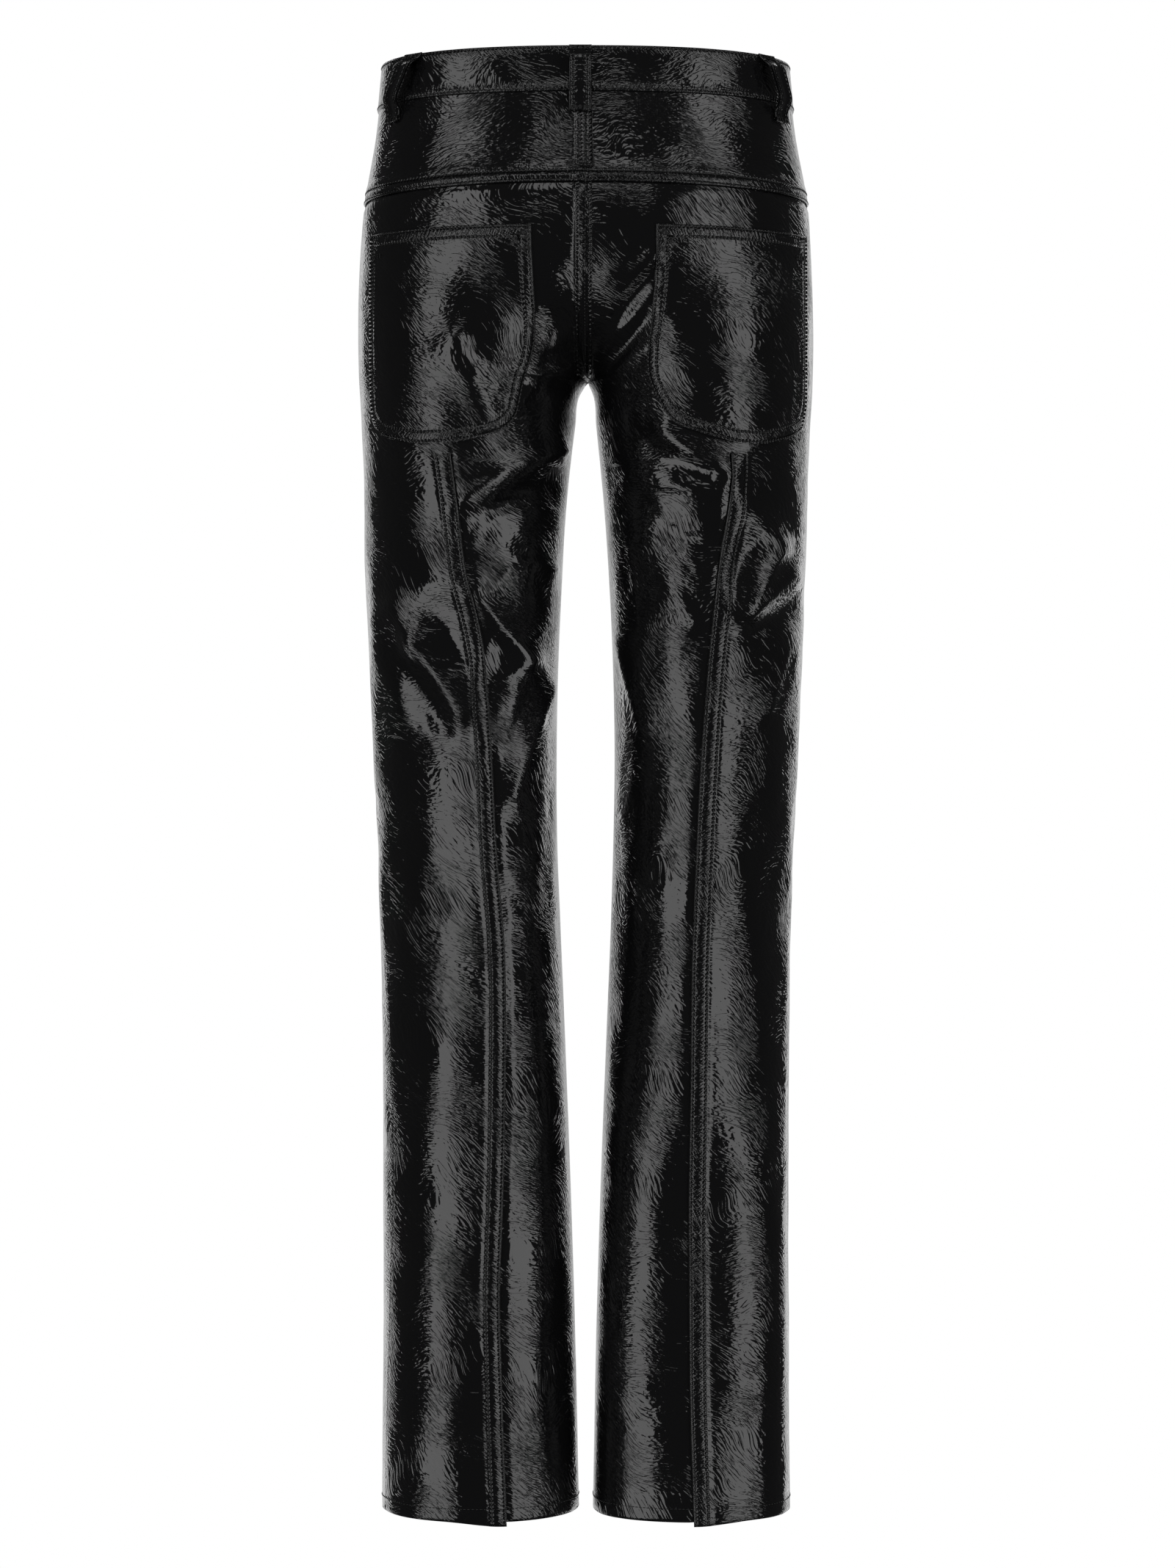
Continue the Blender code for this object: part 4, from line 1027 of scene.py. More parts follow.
# %% Back panels
SEAM_ROWS = (0.0015, 0.0102)
FELL_ROW = 0.0030
GROOVE_ROW = -0.0005
UNDER_START = 0.0045  # where the under layer starts to sink, before the edge over it
SINK_REACH = 0.004
SLIT_OPENS = 0.0015  # the drop over which the slit's two layers part


def back_turns(side, drops):
    """Columns of the back: outside the leg seam with its lapped band, and inside it."""

    def at(x):
        return turn_at(side, BACK, x, drops)

    def between(*stops):
        """Columns between several stops, each given with its count of columns."""
        parts = []
        for (a, _), (b, count) in zip(stops, stops[1:]):
            parts.append(a[:, None] + (b - a)[:, None] * np.linspace(0, 1, count)[None, :])
        return np.concatenate([part[:, :-1] for part in parts[:-1]] + parts[-1:], 1)

    edge = seam_x(side, drops)
    rim = at(edge)
    under = np.where(drops > SLIT_ROOT + 1e-6, at(edge - SEAM_GAP), rim)
    under = np.where(drops > SLIT_ROOT + 0.006, at(edge + LAP_WIDTH - 0.001), under)
    side_seam = along(OUTSEAMS, who(side), drops)
    lap_foot, lap = at(edge + LAP_WIDTH + LAP_STEP), at(edge + LAP_WIDTH)
    ones = np.ones(len(drops))
    fell_foot, fell = FELL_FOOT_TURN * ones, FELL_TURN * ones
    outside = between((side_seam, 0), (lap_foot, 44), (lap, 4), (rim, 7))
    inside = between((under, 0), (at(edge - 0.006), 7), (fell_foot, 42), (fell, 3), (ones, 4))
    return outside, inside


def felled(side, turns, levels, first):
    """The raised fell beside the centre back seam, lower where it meets the seam."""
    rise = ease((turns - FELL_FOOT_TURN) / (FELL_TURN - FELL_FOOT_TURN))
    rise = rise * (1 - FELL_FALL * np.clip((turns - FELL_TURN) / (1 - FELL_TURN), 0, 1))
    down = ease((CROTCH_DROP - levels) / 0.004) * ease((levels - first) / 0.002)
    return rise * down * (FELL_RAISE if side == LEFT else 0.0)


def beside_fell(side, x, levels, seam):
    """Near the centre back seam, a point's seam numbers are those of the fell instead."""
    shift, reach = (FELL_ROW, 0.0100) if side == LEFT else (GROOVE_ROW, 0.0045)
    near = (x < reach) & (levels < CROTCH_DROP)
    fell = places(x + shift, levels, ease((reach - x) / 0.0020))
    return np.where(near[..., None], fell, seam)


def yoke_edge(x):
    return YOKE_DROP + YOKE_SIDE_DIP * (x / HIP_HALF_WIDTH) ** 2


def back_grids(side):
    """Turns and drops of the back panel's two tongues, outside and inside the leg seam."""
    drops = leg_rows(YOKE_DROP - LAP_WIDTH + 0.001)
    for turns in back_turns(side, drops):
        levels = rows_of(drops, turns.shape[1])
        x = from_middle(side, turns, levels)
        share = ease((POCKET_TOP - levels) / (POCKET_TOP - YOKE_DROP))
        yield turns, levels + (yoke_edge(x) - YOKE_DROP) * share


def lap_share(turns):
    """The yoke's lap is pulled flat towards the side seam."""
    return 0.35 + 0.65 * ease((turns - 0.02) / 0.16)


def yoke_sink(turns, levels, x):
    """How far the panel's top sinks to make room for the yoke's lap."""
    room = WALL + 0.0003 - OUTER_LIFT * lap_share(turns)
    return room * ease((yoke_edge(x) + 0.0045 - levels) / 0.004)


def on_leg_lap(x, edge):
    """1 on the leg seam's lapped band, falling to 0 beside it."""
    return ease((edge + LAP_WIDTH + LAP_STEP - x) / LAP_STEP)


def leg_seam_places(side, turns, levels, strength):
    """Across the leg seam, along it, and how strongly it shows."""
    across = from_middle(side, turns, levels) - seam_x(side, levels)
    return places(across, levels, ease((levels - SLIT_ROOT) / 0.006) * strength)


def back_panel(side):
    # outside the leg seam, with the lap that lies on top
    (turns, levels), (in_turns, in_levels) = back_grids(side)
    x = from_middle(side, turns, levels)
    edge = seam_x(side, levels)
    raised = OUTER_LIFT * on_leg_lap(x, edge) * ease((levels - SLIT_ROOT) / SLIT_OPENS)
    raised = raised - yoke_sink(turns, levels, x)
    hang = VENT_HANG * ease(1 - (x - edge)[-1] / VENT_HANG_REACH)
    levels = levels + ease((levels - (HEM_DROP - VENT_BEND)) / VENT_BEND) * hang[None, :]
    outer = kept_skin(side, turns, levels, raised)
    lining = kept_skin(side, turns, levels, raised - WALL)
    draw_in(outer, 0)
    draw_in(lining, 0)
    cloth = cloth_places(outer, levels, side)
    patches = [Patch(outer, lining, cloth, leg_seam_places(side, turns, levels, 1.0))]
    width = cloth[:, -1:, 0]

    # inside it, with the layer that lies below and the fell at the centre back
    turns, levels = in_turns, in_levels
    x = from_middle(side, turns, levels)
    under = ease((x - seam_x(side, levels) + UNDER_START) / SINK_REACH)
    under = under * ease((levels - SLIT_ROOT) / SLIT_OPENS)
    sink = UNDER_SINK * under + yoke_sink(turns, levels, x)
    fell = felled(side, turns, levels, YOKE_DROP + LAP_STEP)
    outer = kept_skin(side, turns, levels, fell - sink)
    lining = kept_skin(side, turns, levels, -WALL - sink)
    draw_in(outer, -1)
    draw_in(lining, -1)
    close_middle(side, outer, levels, -1)
    cloth = cloth_places(outer, levels, side)
    cloth[..., 0] += width - cloth[:, :1, 0]
    seam = beside_fell(side, x, levels, leg_seam_places(side, turns, levels, 0.7))
    patches.append(Patch(outer, lining, cloth, seam))

    def is_sewn(points):
        at = np.abs(points[:, 0]) - seam_x(side, -points[:, 2])
        on_slit = (np.abs(at) < LAP_WIDTH + 0.005) & (-points[:, 2] > SLIT_ROOT - 0.001)
        return hem_is_free(points) & ~on_slit

    return patches, is_sewn


BACK_VINYL = vinyl_material(
    "back_vinyl", {"Slant": -0.45}, dict(zip(("First Row", "Second Row"), SEAM_ROWS))
)
make_both("back", back_panel, BACK_VINYL)

# %% [markdown]
# ## Yokes
# A yoke joins the waistband to the backs and lets the seat curve without darts. Its lower edge
# laps over the back panel and has two rows of stitches.

# %% Yokes
YOKE_ROWS = (0.0013, 0.0077)
YOKE_LEVELS = 30


def yoke(side):
    turns = np.concatenate([grid[0] for grid in back_turns(side, np.array([YOKE_DROP]))])
    turns = np.unique(np.round(turns, 9))
    edge = yoke_edge(from_middle(side, turns, YOKE_DROP))
    top = BAND_HEIGHT + SEAM_GAP
    levels = top + (edge - top)[None, :] * np.linspace(0, 1, YOKE_LEVELS)[:, None]
    turns = np.repeat(turns[None, :], YOKE_LEVELS, 0)
    on_lap = ease((levels - (edge - LAP_WIDTH - LAP_STEP)) / LAP_STEP)
    raised = OUTER_LIFT * on_lap * lap_share(turns)
    outer = kept_skin(side, turns, levels, raised + felled(side, turns, levels, BAND_HEIGHT))
    inner = kept_skin(side, turns, levels, raised - WALL)
    draw_in(outer, 0)
    draw_in(inner, 0)
    inner[0, :, 2] += SEAM_TUCK
    close_middle(side, outer, levels, -1)
    cloth = cloth_places(outer, levels, side)
    across = edge[None, :] - levels
    seam = places(across, cloth[..., 0], 1.0)
    fell_seam = beside_fell(side, from_middle(side, turns, levels), levels, seam)
    seam = np.where((across > LAP_WIDTH)[..., None], fell_seam, seam)

    def is_sewn(points):
        return -points[:, 2] < yoke_edge(np.abs(points[:, 0])) - 0.0015

    return [Patch(outer, inner, cloth, seam)], is_sewn


YOKE_VINYL = vinyl_material(
    "yoke_vinyl",
    {"Slant": -0.06, "Ripple Length": 0.0046, "Depth": 0.29, "Valleys": 0.36},
    {
        "First Row": YOKE_ROWS[0],
        "Second Row": YOKE_ROWS[1],
        "Groove Depth": 0.85,
        "Welt Height": 1.1,
        "Welt Width": 0.0024,
    },
)
make_both("yoke", yoke, YOKE_VINYL)

# %% [markdown]
# ## Patch pockets
# Each pocket is a hemmed patch with rounded lower corners. It lies on the panel's own curve, half
# a millimetre above it, so we make it from the same form.

# %% Pockets
POCKET_ROWS = (0.0016, 0.0082)
POCKET_MOUTH_ROWS = (0.0016, 0.0092)
POCKET_TACK = 0.0155
POCKET_COLUMNS = 66


def pocket_turns(side, drops):
    """Turns of a pocket's two sides."""
    for edge in ("_outer", "_inner"):
        yield turn_at(side, BACK, along(POCKETS, who(side) + edge, drops), drops)


def pocket_drops(top, bottom, step, count):
    """Levels down a pocket's straight side, then round its bottom."""
    bend = np.linspace(0, math.pi / 2, count)
    rounded = POCKET_STRAIGHT + (bottom - POCKET_STRAIGHT) * np.sin(bend)[1:]
    return np.concatenate([spaced(top, POCKET_STRAIGHT, step), rounded])


def distance_to_line(points, line):
    """Distance from each 2-D point to a closed line, and the length along it there."""
    run = np.roll(line, -1, 0) - line
    length = np.linalg.norm(run, axis=1)
    before = np.concatenate([[0], np.cumsum(length)[:-1]])
    offset = points[:, None, :] - line[None]
    share = np.clip((offset * run).sum(-1) / np.maximum(length, 1e-9) ** 2, 0, 1)
    away = np.linalg.norm(offset - share[..., None] * run[None], axis=-1)
    nearest = away.argmin(1)
    rows = np.arange(len(points))
    return away[rows, nearest], before[nearest] + share[rows, nearest] * length[nearest]


def back_pocket(side):
    drops = pocket_drops(POCKET_TOP, POCKET_BOTTOM, 0.0019, 40)
    low, high = pocket_turns(side, drops)
    turns = low[:, None] + (high - low)[:, None] * np.linspace(0, 1, POCKET_COLUMNS)[None, :]
    levels = rows_of(drops, POCKET_COLUMNS)
    outer = skin(side, turns, levels, POCKET_GAP + POCKET_WALL)
    inner = skin(side, turns, levels, POCKET_GAP)
    cloth = cloth_places(outer, levels, side)
    middle = POCKET_COLUMNS // 2
    cloth[..., 0] -= cloth[:, middle : middle + 1, 0] - side * 2 * CLOTH_APART
    flat = cloth[..., :2]
    ring = np.concatenate([flat[0], flat[1:, -1], flat[-1, ::-1][1:], flat[::-1, 0][1:-1]])
    across, length = distance_to_line(flat.reshape(-1, 2), ring)
    seam = places(across.reshape(turns.shape), length.reshape(turns.shape), 1.0)
    return [Patch(outer, inner, cloth, seam)], None


POCKET_VINYL = vinyl_material(
    "pocket_vinyl",
    {"Slant": -0.50, "Depth": 0.28, "Valleys": 0.18},
    dict(zip(("First Row", "Second Row"), POCKET_ROWS)),
)
make_both("back_pocket", back_pocket, POCKET_VINYL)

# %% [markdown]
# ## Waistband
# One strip goes round the waist, and its right end is tucked under its left end at the front.

# %% Waistband
BAND_ROW = 0.0019
BAND_LEVELS = 18
BAND_STEP = 0.0025


def band_columns():
    """Columns round the waistband as side, turn and inward shift, from the underlap's end."""

    def in_front(side, x):
        return float(turn_at(side, FRONT, x, np.array(0.0)))

    tuck = -(BAND_WALL + 0.0004)
    columns = [(LEFT, in_front(LEFT, x), tuck) for x in spaced(BAND_UNDERLAP, 0.0015, BAND_STEP)]
    columns += [(RIGHT, in_front(RIGHT, x), tuck) for x in spaced(0.0010, 0.009, BAND_STEP)]
    for share, turn in zip(ease(np.linspace(0.1, 1, 8)), np.linspace(-0.945, -0.80, 8)):
        columns.append((RIGHT, float(turn), tuck * float(1 - share)))
    for side, start, end, count in ((RIGHT, -0.80, 1.0, 150), (LEFT, 1.0, -0.95, 160)):
        columns += [(side, float(turn), 0.0) for turn in np.linspace(start, end, count)[1:]]
    for x in spaced(0.010, -BAND_OVERLAP, BAND_STEP):
        side = LEFT if x > 0 else RIGHT
        columns.append((side, in_front(side, max(abs(x), 0.0003)), 0.0))
    return columns


def waistband():
    levels = np.linspace(0.0, BAND_HEIGHT, BAND_LEVELS)
    columns = band_columns()
    outer, inner = (
        np.stack([skin(side, turn, levels, out + shift) for side, turn, shift in columns], 1)
        for out in (BAND_PROUD, BAND_PROUD - BAND_WALL)
    )
    grid = rows_of(levels, len(columns))
    cloth = cloth_places(outer, grid, 0)
    seam = places(np.minimum(grid, BAND_HEIGHT - grid), cloth[..., 0], 1.0)
    make_wall("waistband", [Patch(outer, inner, cloth, seam)], BAND_VINYL, BACKING)


BAND_VINYL = vinyl_material(
    "band_vinyl",
    {"Slant": 0.05, "Ripple Length": 0.0046, "Depth": 0.27, "Valleys": 0.32},
    {"First Row": BAND_ROW, "Second Row": BAND_ROW, "Groove Depth": 0.34, "Rib Reach": 0.0045},
)
waistband()
print("waistband:", len(pieces["waistband"].data.polygons), "faces")

# %% [markdown]
# ## Belt loops
# Each loop is a narrow folded strap, sewn flat at both ends and standing off the band between.

# %% Belt loops
LOOPS = table(
    "name side face x_top x_low stand_off",
    ("belt_loop_centre_back", LEFT, BACK, 0.0050, 0.0050, 0.0056),
    ("belt_loop_back_left", LEFT, BACK, 0.1215, 0.1400, 0.0074),
    ("belt_loop_back_right", RIGHT, BACK, 0.1250, 0.1385, 0.0074),
    ("belt_loop_front_left", LEFT, FRONT, 0.0850, 0.0870, 0.0064),
    ("belt_loop_front_right", RIGHT, FRONT, 0.0850, 0.0870, 0.0064),
)
LOOP_WIDTH = 0.0160
LOOP_COLUMNS = 33
LOOP_WALL = 0.0018
LOOP_REFERENCE = 0.050
LOOP_GAP = 0.0004
LOOP_ROW = 0.0031
LOOP_ROLL = 0.0005
LOOP_ROLL_AT = 0.0009
LOOP_ROLL_WIDTH = 0.0009
LOOP_TACKS = (0.0024, 0.0454)
LOOP_DROPS = (0.0004, 0.0040, 0.0085, 0.0210, 0.0320, 0.0415, 0.0475)
LOOP_SHARES = (0.0, 0.0, 1.0, 1.0, 1.0, 0.0, 0.0)  # of the stand-off, at those drops


def smoothed(values):
    return np.convolve(np.pad(values, 2, mode="edge"), np.ones(5) / 5, "valid")


def loop_frame(loop):
    """Middle line of the strap, its normal, its sideways direction and how far out it stands."""
    drops = spaced(LOOP_DROPS[0], LOOP_DROPS[-1], 0.0011)
    share = smoothed(np.interp(drops, LOOP_DROPS, LOOP_SHARES))
    middle = loop.x_top + (loop.x_low - loop.x_top) * drops / LOOP_REFERENCE
    on_fell = FELL_RAISE if loop.x_low < LOOP_WIDTH else 0.0
    under = smoothed(np.where(drops < BAND_HEIGHT + 0.004, BAND_PROUD, on_fell) + LOOP_GAP)
    out = under + (loop.stand_off - LOOP_GAP) * share
    turn = turn_at(loop.side, loop.face, middle, drops)
    normal = outward(loop.side, turn, drops)
    sideways = unit(np.cross(normal, (0.0, 0.0, -1.0)))
    return drops, body_form(loop.side, turn, drops), normal, sideways, out


def belt_loop(loop):
    drops, centre, normal, sideways, out = loop_frame(loop)
    shifts = np.linspace(-LOOP_WIDTH / 2, LOOP_WIDTH / 2, LOOP_COLUMNS)
    from_edge = LOOP_WIDTH / 2 - np.abs(shifts)
    rolled = LOOP_ROLL * np.exp(-(((from_edge - LOOP_ROLL_AT) / LOOP_ROLL_WIDTH) ** 2))
    inner = centre[:, None] + sideways[:, None] * shifts[None, :, None]
    inner = inner + normal[:, None] * out[:, None, None]
    outer = inner + normal[:, None] * (LOOP_WALL + rolled)[None, :, None]
    levels = rows_of(drops, LOOP_COLUMNS)
    cloth = cloth_places(outer, levels, loop.x_top * 10)
    seam = places(from_edge[None, :], levels, 1.0)
    make_wall(loop.name, [Patch(outer, inner, cloth, seam)], LOOP_VINYL, LOOP_VINYL)


LOOP_VINYL = vinyl_material(
    "loop_vinyl",
    {"Slant": 0.0, "Ripple Length": 0.003, "Depth": 0.16},
    {"First Row": LOOP_ROW, "Second Row": LOOP_ROW, "Groove Depth": 0.30, "Rib Reach": 0.003},
)
for loop in LOOPS:
    belt_loop(loop)
print("belt loops:", len(LOOPS))

# %% [markdown]
# ## The button
# A turned metal button closes the band. Its profile is spun round its own axis: a rolled rim, a
# dished face and a small dome.

# %% Button
BUTTON_THICKNESS = 0.0034
BUTTON_X = 0.016
# Each corner of the profile: its radius, and its height as a share of the thickness
BUTTON_PROFILE = [
    (0.0000, 0.86), (0.0016, 0.84), (0.0026, 0.74), (0.0034, 0.68),
    (0.0056, 0.68), (0.0064, 0.78), (0.0072, 0.96), (0.0080, 0.94),
    (0.0085, 0.72), (0.0085, 0.30), (0.0078, 0.00), (0.0000, 0.00),
]


def waistband_button():
    drop = np.array(BAND_HEIGHT / 2)
    turn = turn_at(LEFT, FRONT, BUTTON_X, drop)
    normal = Vector(outward(LEFT, turn, drop))
    base = Vector(skin(LEFT, turn, drop, BAND_PROUD + 0.0005))
    turn_to = Vector((0, 0, 1)).rotation_difference(normal)
    shape = bmesh.new()
    profile = [shape.verts.new((x, 0, z * BUTTON_THICKNESS)) for x, z in BUTTON_PROFILE]
    lines = [shape.edges.new(pair) for pair in zip(profile, profile[1:])]
    bmesh.ops.spin(
        shape, geom=profile + lines, axis=(0, 0, 1), cent=(0, 0, 0), angle=2 * math.pi, steps=48
    )
    bmesh.ops.remove_doubles(shape, verts=shape.verts, dist=1e-6)
    bmesh.ops.recalc_face_normals(shape, faces=shape.faces)
    for vertex in shape.verts:
        vertex.co = base + turn_to @ vertex.co
    mesh = bpy.data.meshes.new("waistband_button")
    shape.to_mesh(mesh)
    shape.free()
    mesh.shade_smooth()
    mesh.materials.append(button_material())
    return add_object("waistband_button.turned", mesh)


pieces["waistband_button"] = waistband_button()
print("button:", len(pieces["waistband_button"].data.polygons), "faces")

# %% [markdown]
# ## Stitches
# Thousands of short stitches would be tiresome by hand. One Geometry Nodes tree walks along each
# seam's line in equal steps, puts a small spindle of thread at each step, and turns it along the
# line. Realize Instances makes them real mesh.

# %% Stitch tree
STITCH_LENGTH = 0.0024
THREAD_WIDTH = 0.00070


def stitch_tree():
    tree = bpy.data.node_groups.new("stitch_row", "GeometryNodeTree")
    add_socket = tree.interface.new_socket
    add_socket("Seam Lines", in_out="INPUT", socket_type="NodeSocketGeometry")
    for name in ("Pitch", "Stitch Length", "Thread Width"):
        add_socket(name, in_out="INPUT", socket_type="NodeSocketFloat")
    add_socket("Thread", in_out="INPUT", socket_type="NodeSocketMaterial")
    add_socket("Stitches", in_out="OUTPUT", socket_type="NodeSocketGeometry")
    ends = tree.nodes.new("NodeGroupInput").outputs
    out = tree.nodes.new("NodeGroupOutput")

    def geometry(kind, inputs=(), **settings):
        return new_node(tree, kind, inputs, **settings).outputs

    inputs = {"Curve": ends["Seam Lines"], "Length": ends["Pitch"]}
    steps = geometry("GeometryNodeResampleCurve", inputs, mode="LENGTH")
    spindle = geometry("GeometryNodeMeshUVSphere", {"Segments": 6, "Rings": 4, "Radius": 0.5})
    inputs = {"X": ends["Stitch Length"], "Y": ends["Thread Width"], "Z": ends["Thread Width"]}
    size = geometry("ShaderNodeCombineXYZ", inputs)
    inputs = {"Geometry": spindle["Mesh"], "Scale": size["Vector"]}
    shaped = geometry("GeometryNodeTransform", inputs)
    inputs = {"Vector": geometry("GeometryNodeInputTangent")["Tangent"]}
    aligned = geometry("FunctionNodeAlignRotationToVector", inputs, axis="X")
    inputs = {"Points": steps["Curve"], "Instance": shaped["Geometry"]}
    inputs["Rotation"] = aligned["Rotation"]
    placed = geometry("GeometryNodeInstanceOnPoints", inputs)
    real = geometry("GeometryNodeRealizeInstances", {"Geometry": placed["Instances"]})
    inputs = {"Geometry": real["Geometry"], "Material": ends["Thread"]}
    dyed = geometry("GeometryNodeSetMaterial", inputs)
    feed(tree, out, {"Stitches": dyed["Geometry"]})
    return tree


STITCH_TREE = stitch_tree()


def sew(name, lines):
    """Stitches along several lines, as one plain mesh."""
    curve = bpy.data.curves.new(name + "_lines", "CURVE")
    curve.dimensions = "3D"
    for line in lines:
        spline = curve.splines.new("POLY")
        spline.points.add(len(line) - 1)
        weights = np.ones((len(line), 1))
        spline.points.foreach_set("co", np.concatenate([line, weights], 1).reshape(-1))
    holder = add_object(name + "_lines", curve)
    modifier = holder.modifiers.new("stitches", "NODES")
    modifier.node_group = STITCH_TREE
    values = {"Pitch": STITCH_PITCH, "Stitch Length": STITCH_LENGTH}
    values.update({"Thread Width": THREAD_WIDTH, "Thread": THREAD})
    for item in STITCH_TREE.interface.items_tree:
        if item.in_out == "INPUT" and item.name in values:
            modifier[item.identifier] = values[item.name]
    graph = bpy.context.evaluated_depsgraph_get()
    mesh = bpy.data.meshes.new_from_object(holder.evaluated_get(graph))
    bpy.data.objects.remove(holder)
    mesh.name = name
    mesh.shade_smooth()
    return add_object(name, mesh)


print("stitch tree:", len(STITCH_TREE.nodes), "nodes")

# %% [markdown]
# ## Where the rows run
# Each line is worked out from the same seam tables, at its distance from the seam's edge, and
# lies on the cloth.

# %% Seam lines
THREAD_LIFT = 0.00012
LINE_STEP = 0.003
HEM_ROW = 0.0095
TACK_SPACING = 0.0006
ON_POCKET = POCKET_GAP + POCKET_WALL + THREAD_LIFT


def leg_seam_lines(side):
    drops = spaced(SLIT_ROOT + 0.003, HEM_DROP - 0.0015, LINE_STEP)
    for row in SEAM_ROWS:
        turns = turn_at(side, BACK, seam_x(side, drops) + row, drops)
        yield kept_skin(side, turns, drops, OUTER_LIFT + THREAD_LIFT)


def yoke_lines(side):
    turns = np.linspace(0.004, 0.997, 160)
    for row in YOKE_ROWS:
        drops = yoke_edge(from_middle(side, turns, YOKE_DROP)) - row
        raised = OUTER_LIFT * lap_share(turns) + felled(side, turns, drops, BAND_HEIGHT)
        yield kept_skin(side, turns, drops, raised + THREAD_LIFT)


def hem_line(side, face):
    side_seam = along(OUTSEAMS, who(side), HEM_DROP)
    ends = (side_seam, 0.998) if face == BACK else (-0.998, side_seam)
    turns = np.linspace(*ends, 90)
    drops = np.full(len(turns), HEM_DROP - HEM_ROW)
    x, edge = from_middle(side, turns, drops), seam_x(side, drops)
    on_lap = (face == BACK) * (x > edge) * on_leg_lap(x, edge)
    return skin(side, turns, drops, OUTER_LIFT * on_lap + THREAD_LIFT)


def band_lines():
    columns = [column for column in band_columns() if column[2] == 0.0]
    for level in (BAND_ROW, BAND_HEIGHT - BAND_ROW):
        line = [skin(side, turn, level, BAND_PROUD + THREAD_LIFT) for side, turn, _ in columns]
        yield np.array(line)


def pocket_lines(side):
    """Two rows round a pocket's sides and bottom, two along its mouth, and a bar at each corner."""
    for row in POCKET_ROWS:
        drops = pocket_drops(POCKET_TOP + 0.0005, POCKET_BOTTOM - 0.0002, LINE_STEP, 30)
        left, right = (np.stack([turns, drops], -1) for turns in pocket_turns(side, drops))
        turns, drops = np.concatenate([left, right[::-1]]).T
        points = body_form(side, turns, drops)
        inwards = unit(np.cross(outward(side, turns, drops), np.gradient(points, axis=0)))
        if ((points.mean(0) - points) * inwards).sum() < 0:
            inwards = -inwards
        yield skin(side, turns, drops, ON_POCKET) + inwards * row
    for row in POCKET_MOUTH_ROWS:
        low, high = pocket_turns(side, np.array([POCKET_TOP + row]))
        turns = np.linspace(low[0] + 0.006, high[0] - 0.006, 60)
        yield skin(side, turns, POCKET_TOP + row, ON_POCKET)
    for row in np.arange(5) * TACK_SPACING + POCKET_TACK:
        drop = POCKET_TOP + row
        edges = np.concatenate(list(pocket_turns(side, np.array([drop]))))
        edge_x = from_middle(side, edges, drop)
        for x, inwards in zip(edge_x, (1, -1) if edge_x[0] < edge_x[1] else (-1, 1)):
            turns = turn_at(side, BACK, x + inwards * np.linspace(*POCKET_ROWS, 8), np.full(8, drop))
            yield skin(side, turns, drop, ON_POCKET + THREAD_LIFT)


def loop_lines(loop):
    """Two rows along a belt loop and a dense bar of stitches across each end."""
    drops, centre, normal, sideways, out = loop_frame(loop)
    on_top = centre + normal * (out + LOOP_WALL + THREAD_LIFT)[:, None]
    for way in (-1, 1):
        yield (on_top + sideways * way * (LOOP_WIDTH / 2 - LOOP_ROW))[3:-3]
    across = np.linspace(-LOOP_WIDTH / 2 + 0.0012, LOOP_WIDTH / 2 - 0.0012, 12)
    for drop in LOOP_TACKS:
        for row in np.arange(-2, 3) * TACK_SPACING:
            at = np.abs(drops - drop - row).argmin()
            start = on_top[at] + normal[at] * THREAD_LIFT
            start = start - np.array([0, 0, 1.0]) * (drop + row - drops[at])
            yield start + sideways[at] * across[:, None]


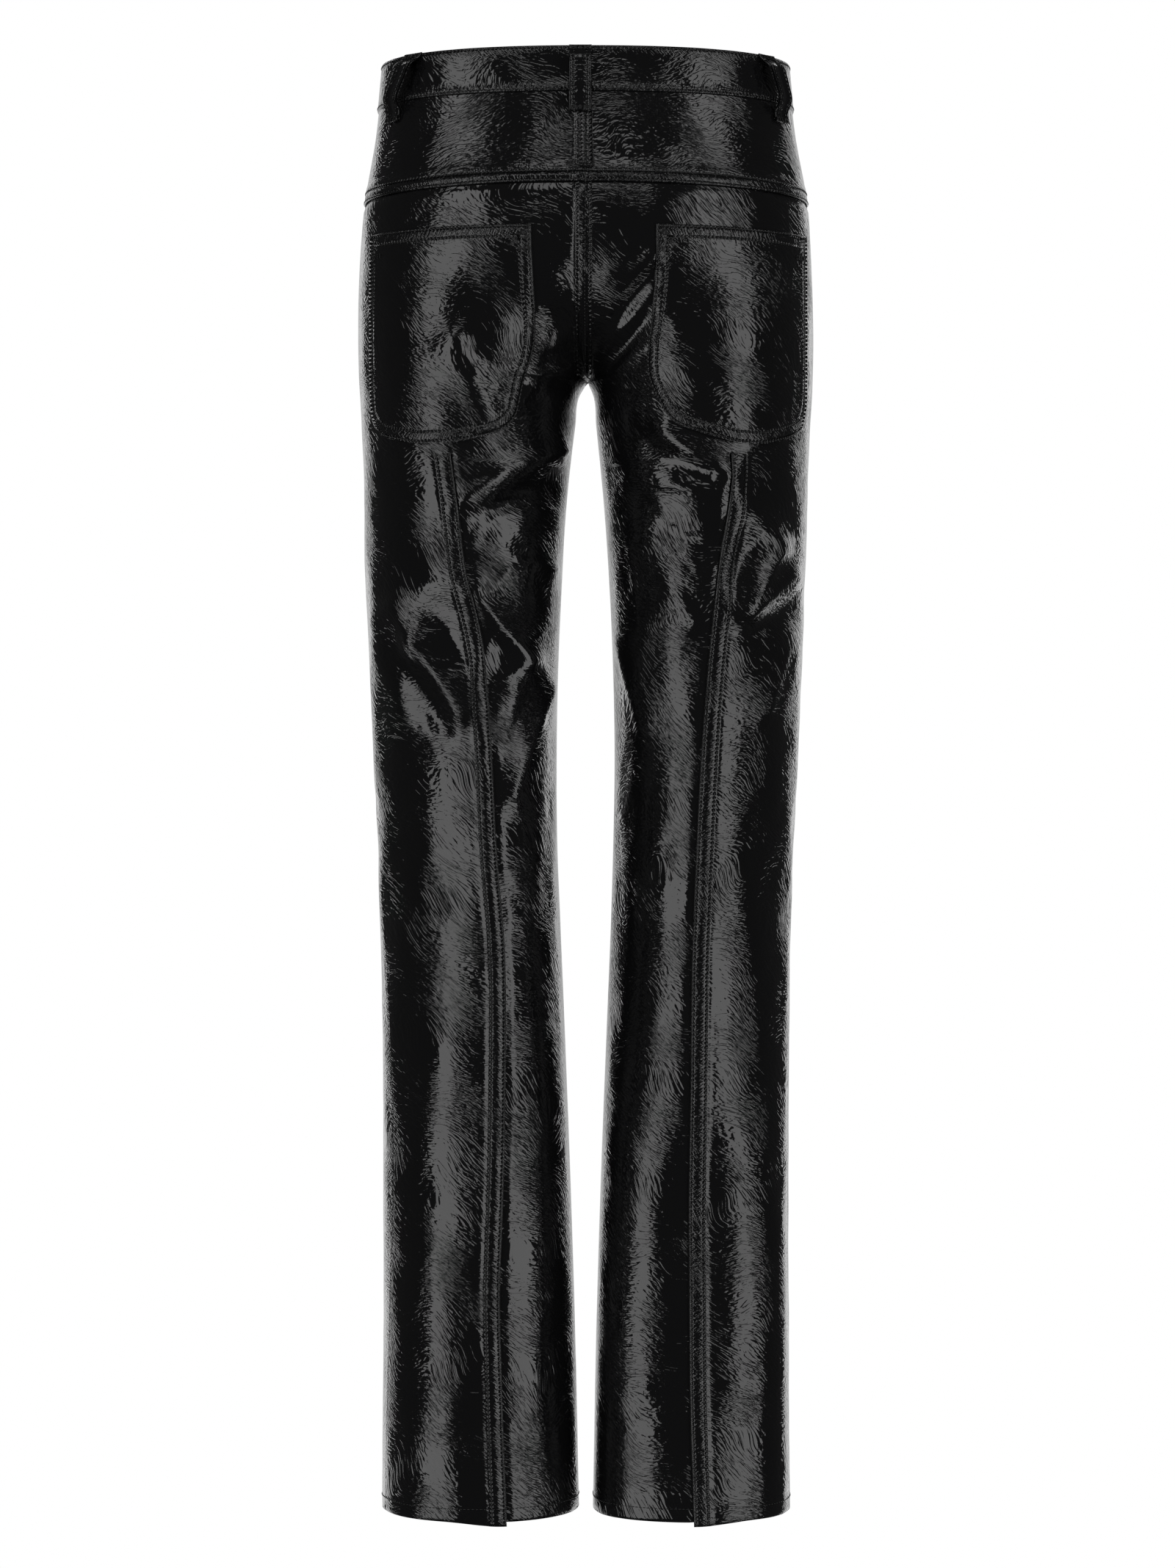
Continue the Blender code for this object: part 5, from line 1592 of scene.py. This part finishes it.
def centre_back_line():
    drops = spaced(BAND_HEIGHT + 0.002, CROTCH_DROP - 0.010, LINE_STEP)
    on_lap = ease((drops - YOKE_DROP + LAP_WIDTH + LAP_STEP) / LAP_STEP)
    raised = np.where(drops < YOKE_DROP, OUTER_LIFT * on_lap, 0) + FELL_RAISE
    turns = turn_at(LEFT, BACK, np.full(len(drops), 0.0016), drops)
    return skin(LEFT, turns, drops, raised + THREAD_LIFT)


def fly_line():
    straight = spaced(BAND_HEIGHT + 0.002, FLY_DROP - FLY_CORNER, LINE_STEP)
    corner = np.linspace(0, math.pi / 2, 24)[1:-1]
    x = np.concatenate([np.full(len(straight), FLY_WIDTH), FLY_WIDTH * np.cos(corner)])
    drops = np.concatenate([straight, FLY_DROP - FLY_CORNER + FLY_CORNER * np.sin(corner)])
    turns = turn_at(LEFT, FRONT, x - 0.003, drops)
    return skin(LEFT, turns, drops, FLY_RAISE + THREAD_LIFT)


seat_lines = [line for side in SIDES for line in yoke_lines(side)]
stitch_rows = {
    "stitches_waistband": list(band_lines()),
    "stitches_seat": seat_lines + [centre_back_line(), fly_line()],
    "stitches_pockets": [line for side in SIDES for line in pocket_lines(side)],
    "stitches_legs": [line for side in SIDES for line in leg_seam_lines(side)],
    "stitches_hems": [hem_line(side, face) for side in SIDES for face in (BACK, FRONT)],
    "stitches_loops": [line for loop in LOOPS for line in loop_lines(loop)],
}
for name, lines in stitch_rows.items():
    row = sew(name, lines)
    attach(row, "root")
    print(name, len(row.data.polygons), "faces")

# %% [markdown]
# ## Tell the frame what is what
# Each shell stands for its solid and rides on the one body. We measure each sheet and print
# its area.

CUTS = {  # width, length and area of one piece
    "front": (0.252, 1.010, 0.2400),
    "back": (0.262, 0.960, 0.2260),
    "yoke": (0.232, 0.066, 0.0145),
    "back_pocket": (0.145, 0.153, 0.0206),
    "waistband": (0.862, 0.034, None),
}


def one_side_area(piece):
    """Area of one face of a wall."""
    return sum(polygon.area for polygon in piece.data.polygons) / 2


for node, piece in pieces.items():
    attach(piece, "root")
    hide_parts(node)
    if node == "waistband_button":
        continue
    print(node, "one side", round(one_side_area(piece), 5), "m2")
    kind = node.removesuffix("_left").removesuffix("_right")
    if kind in CUTS:
        width, length, area = CUTS[kind]
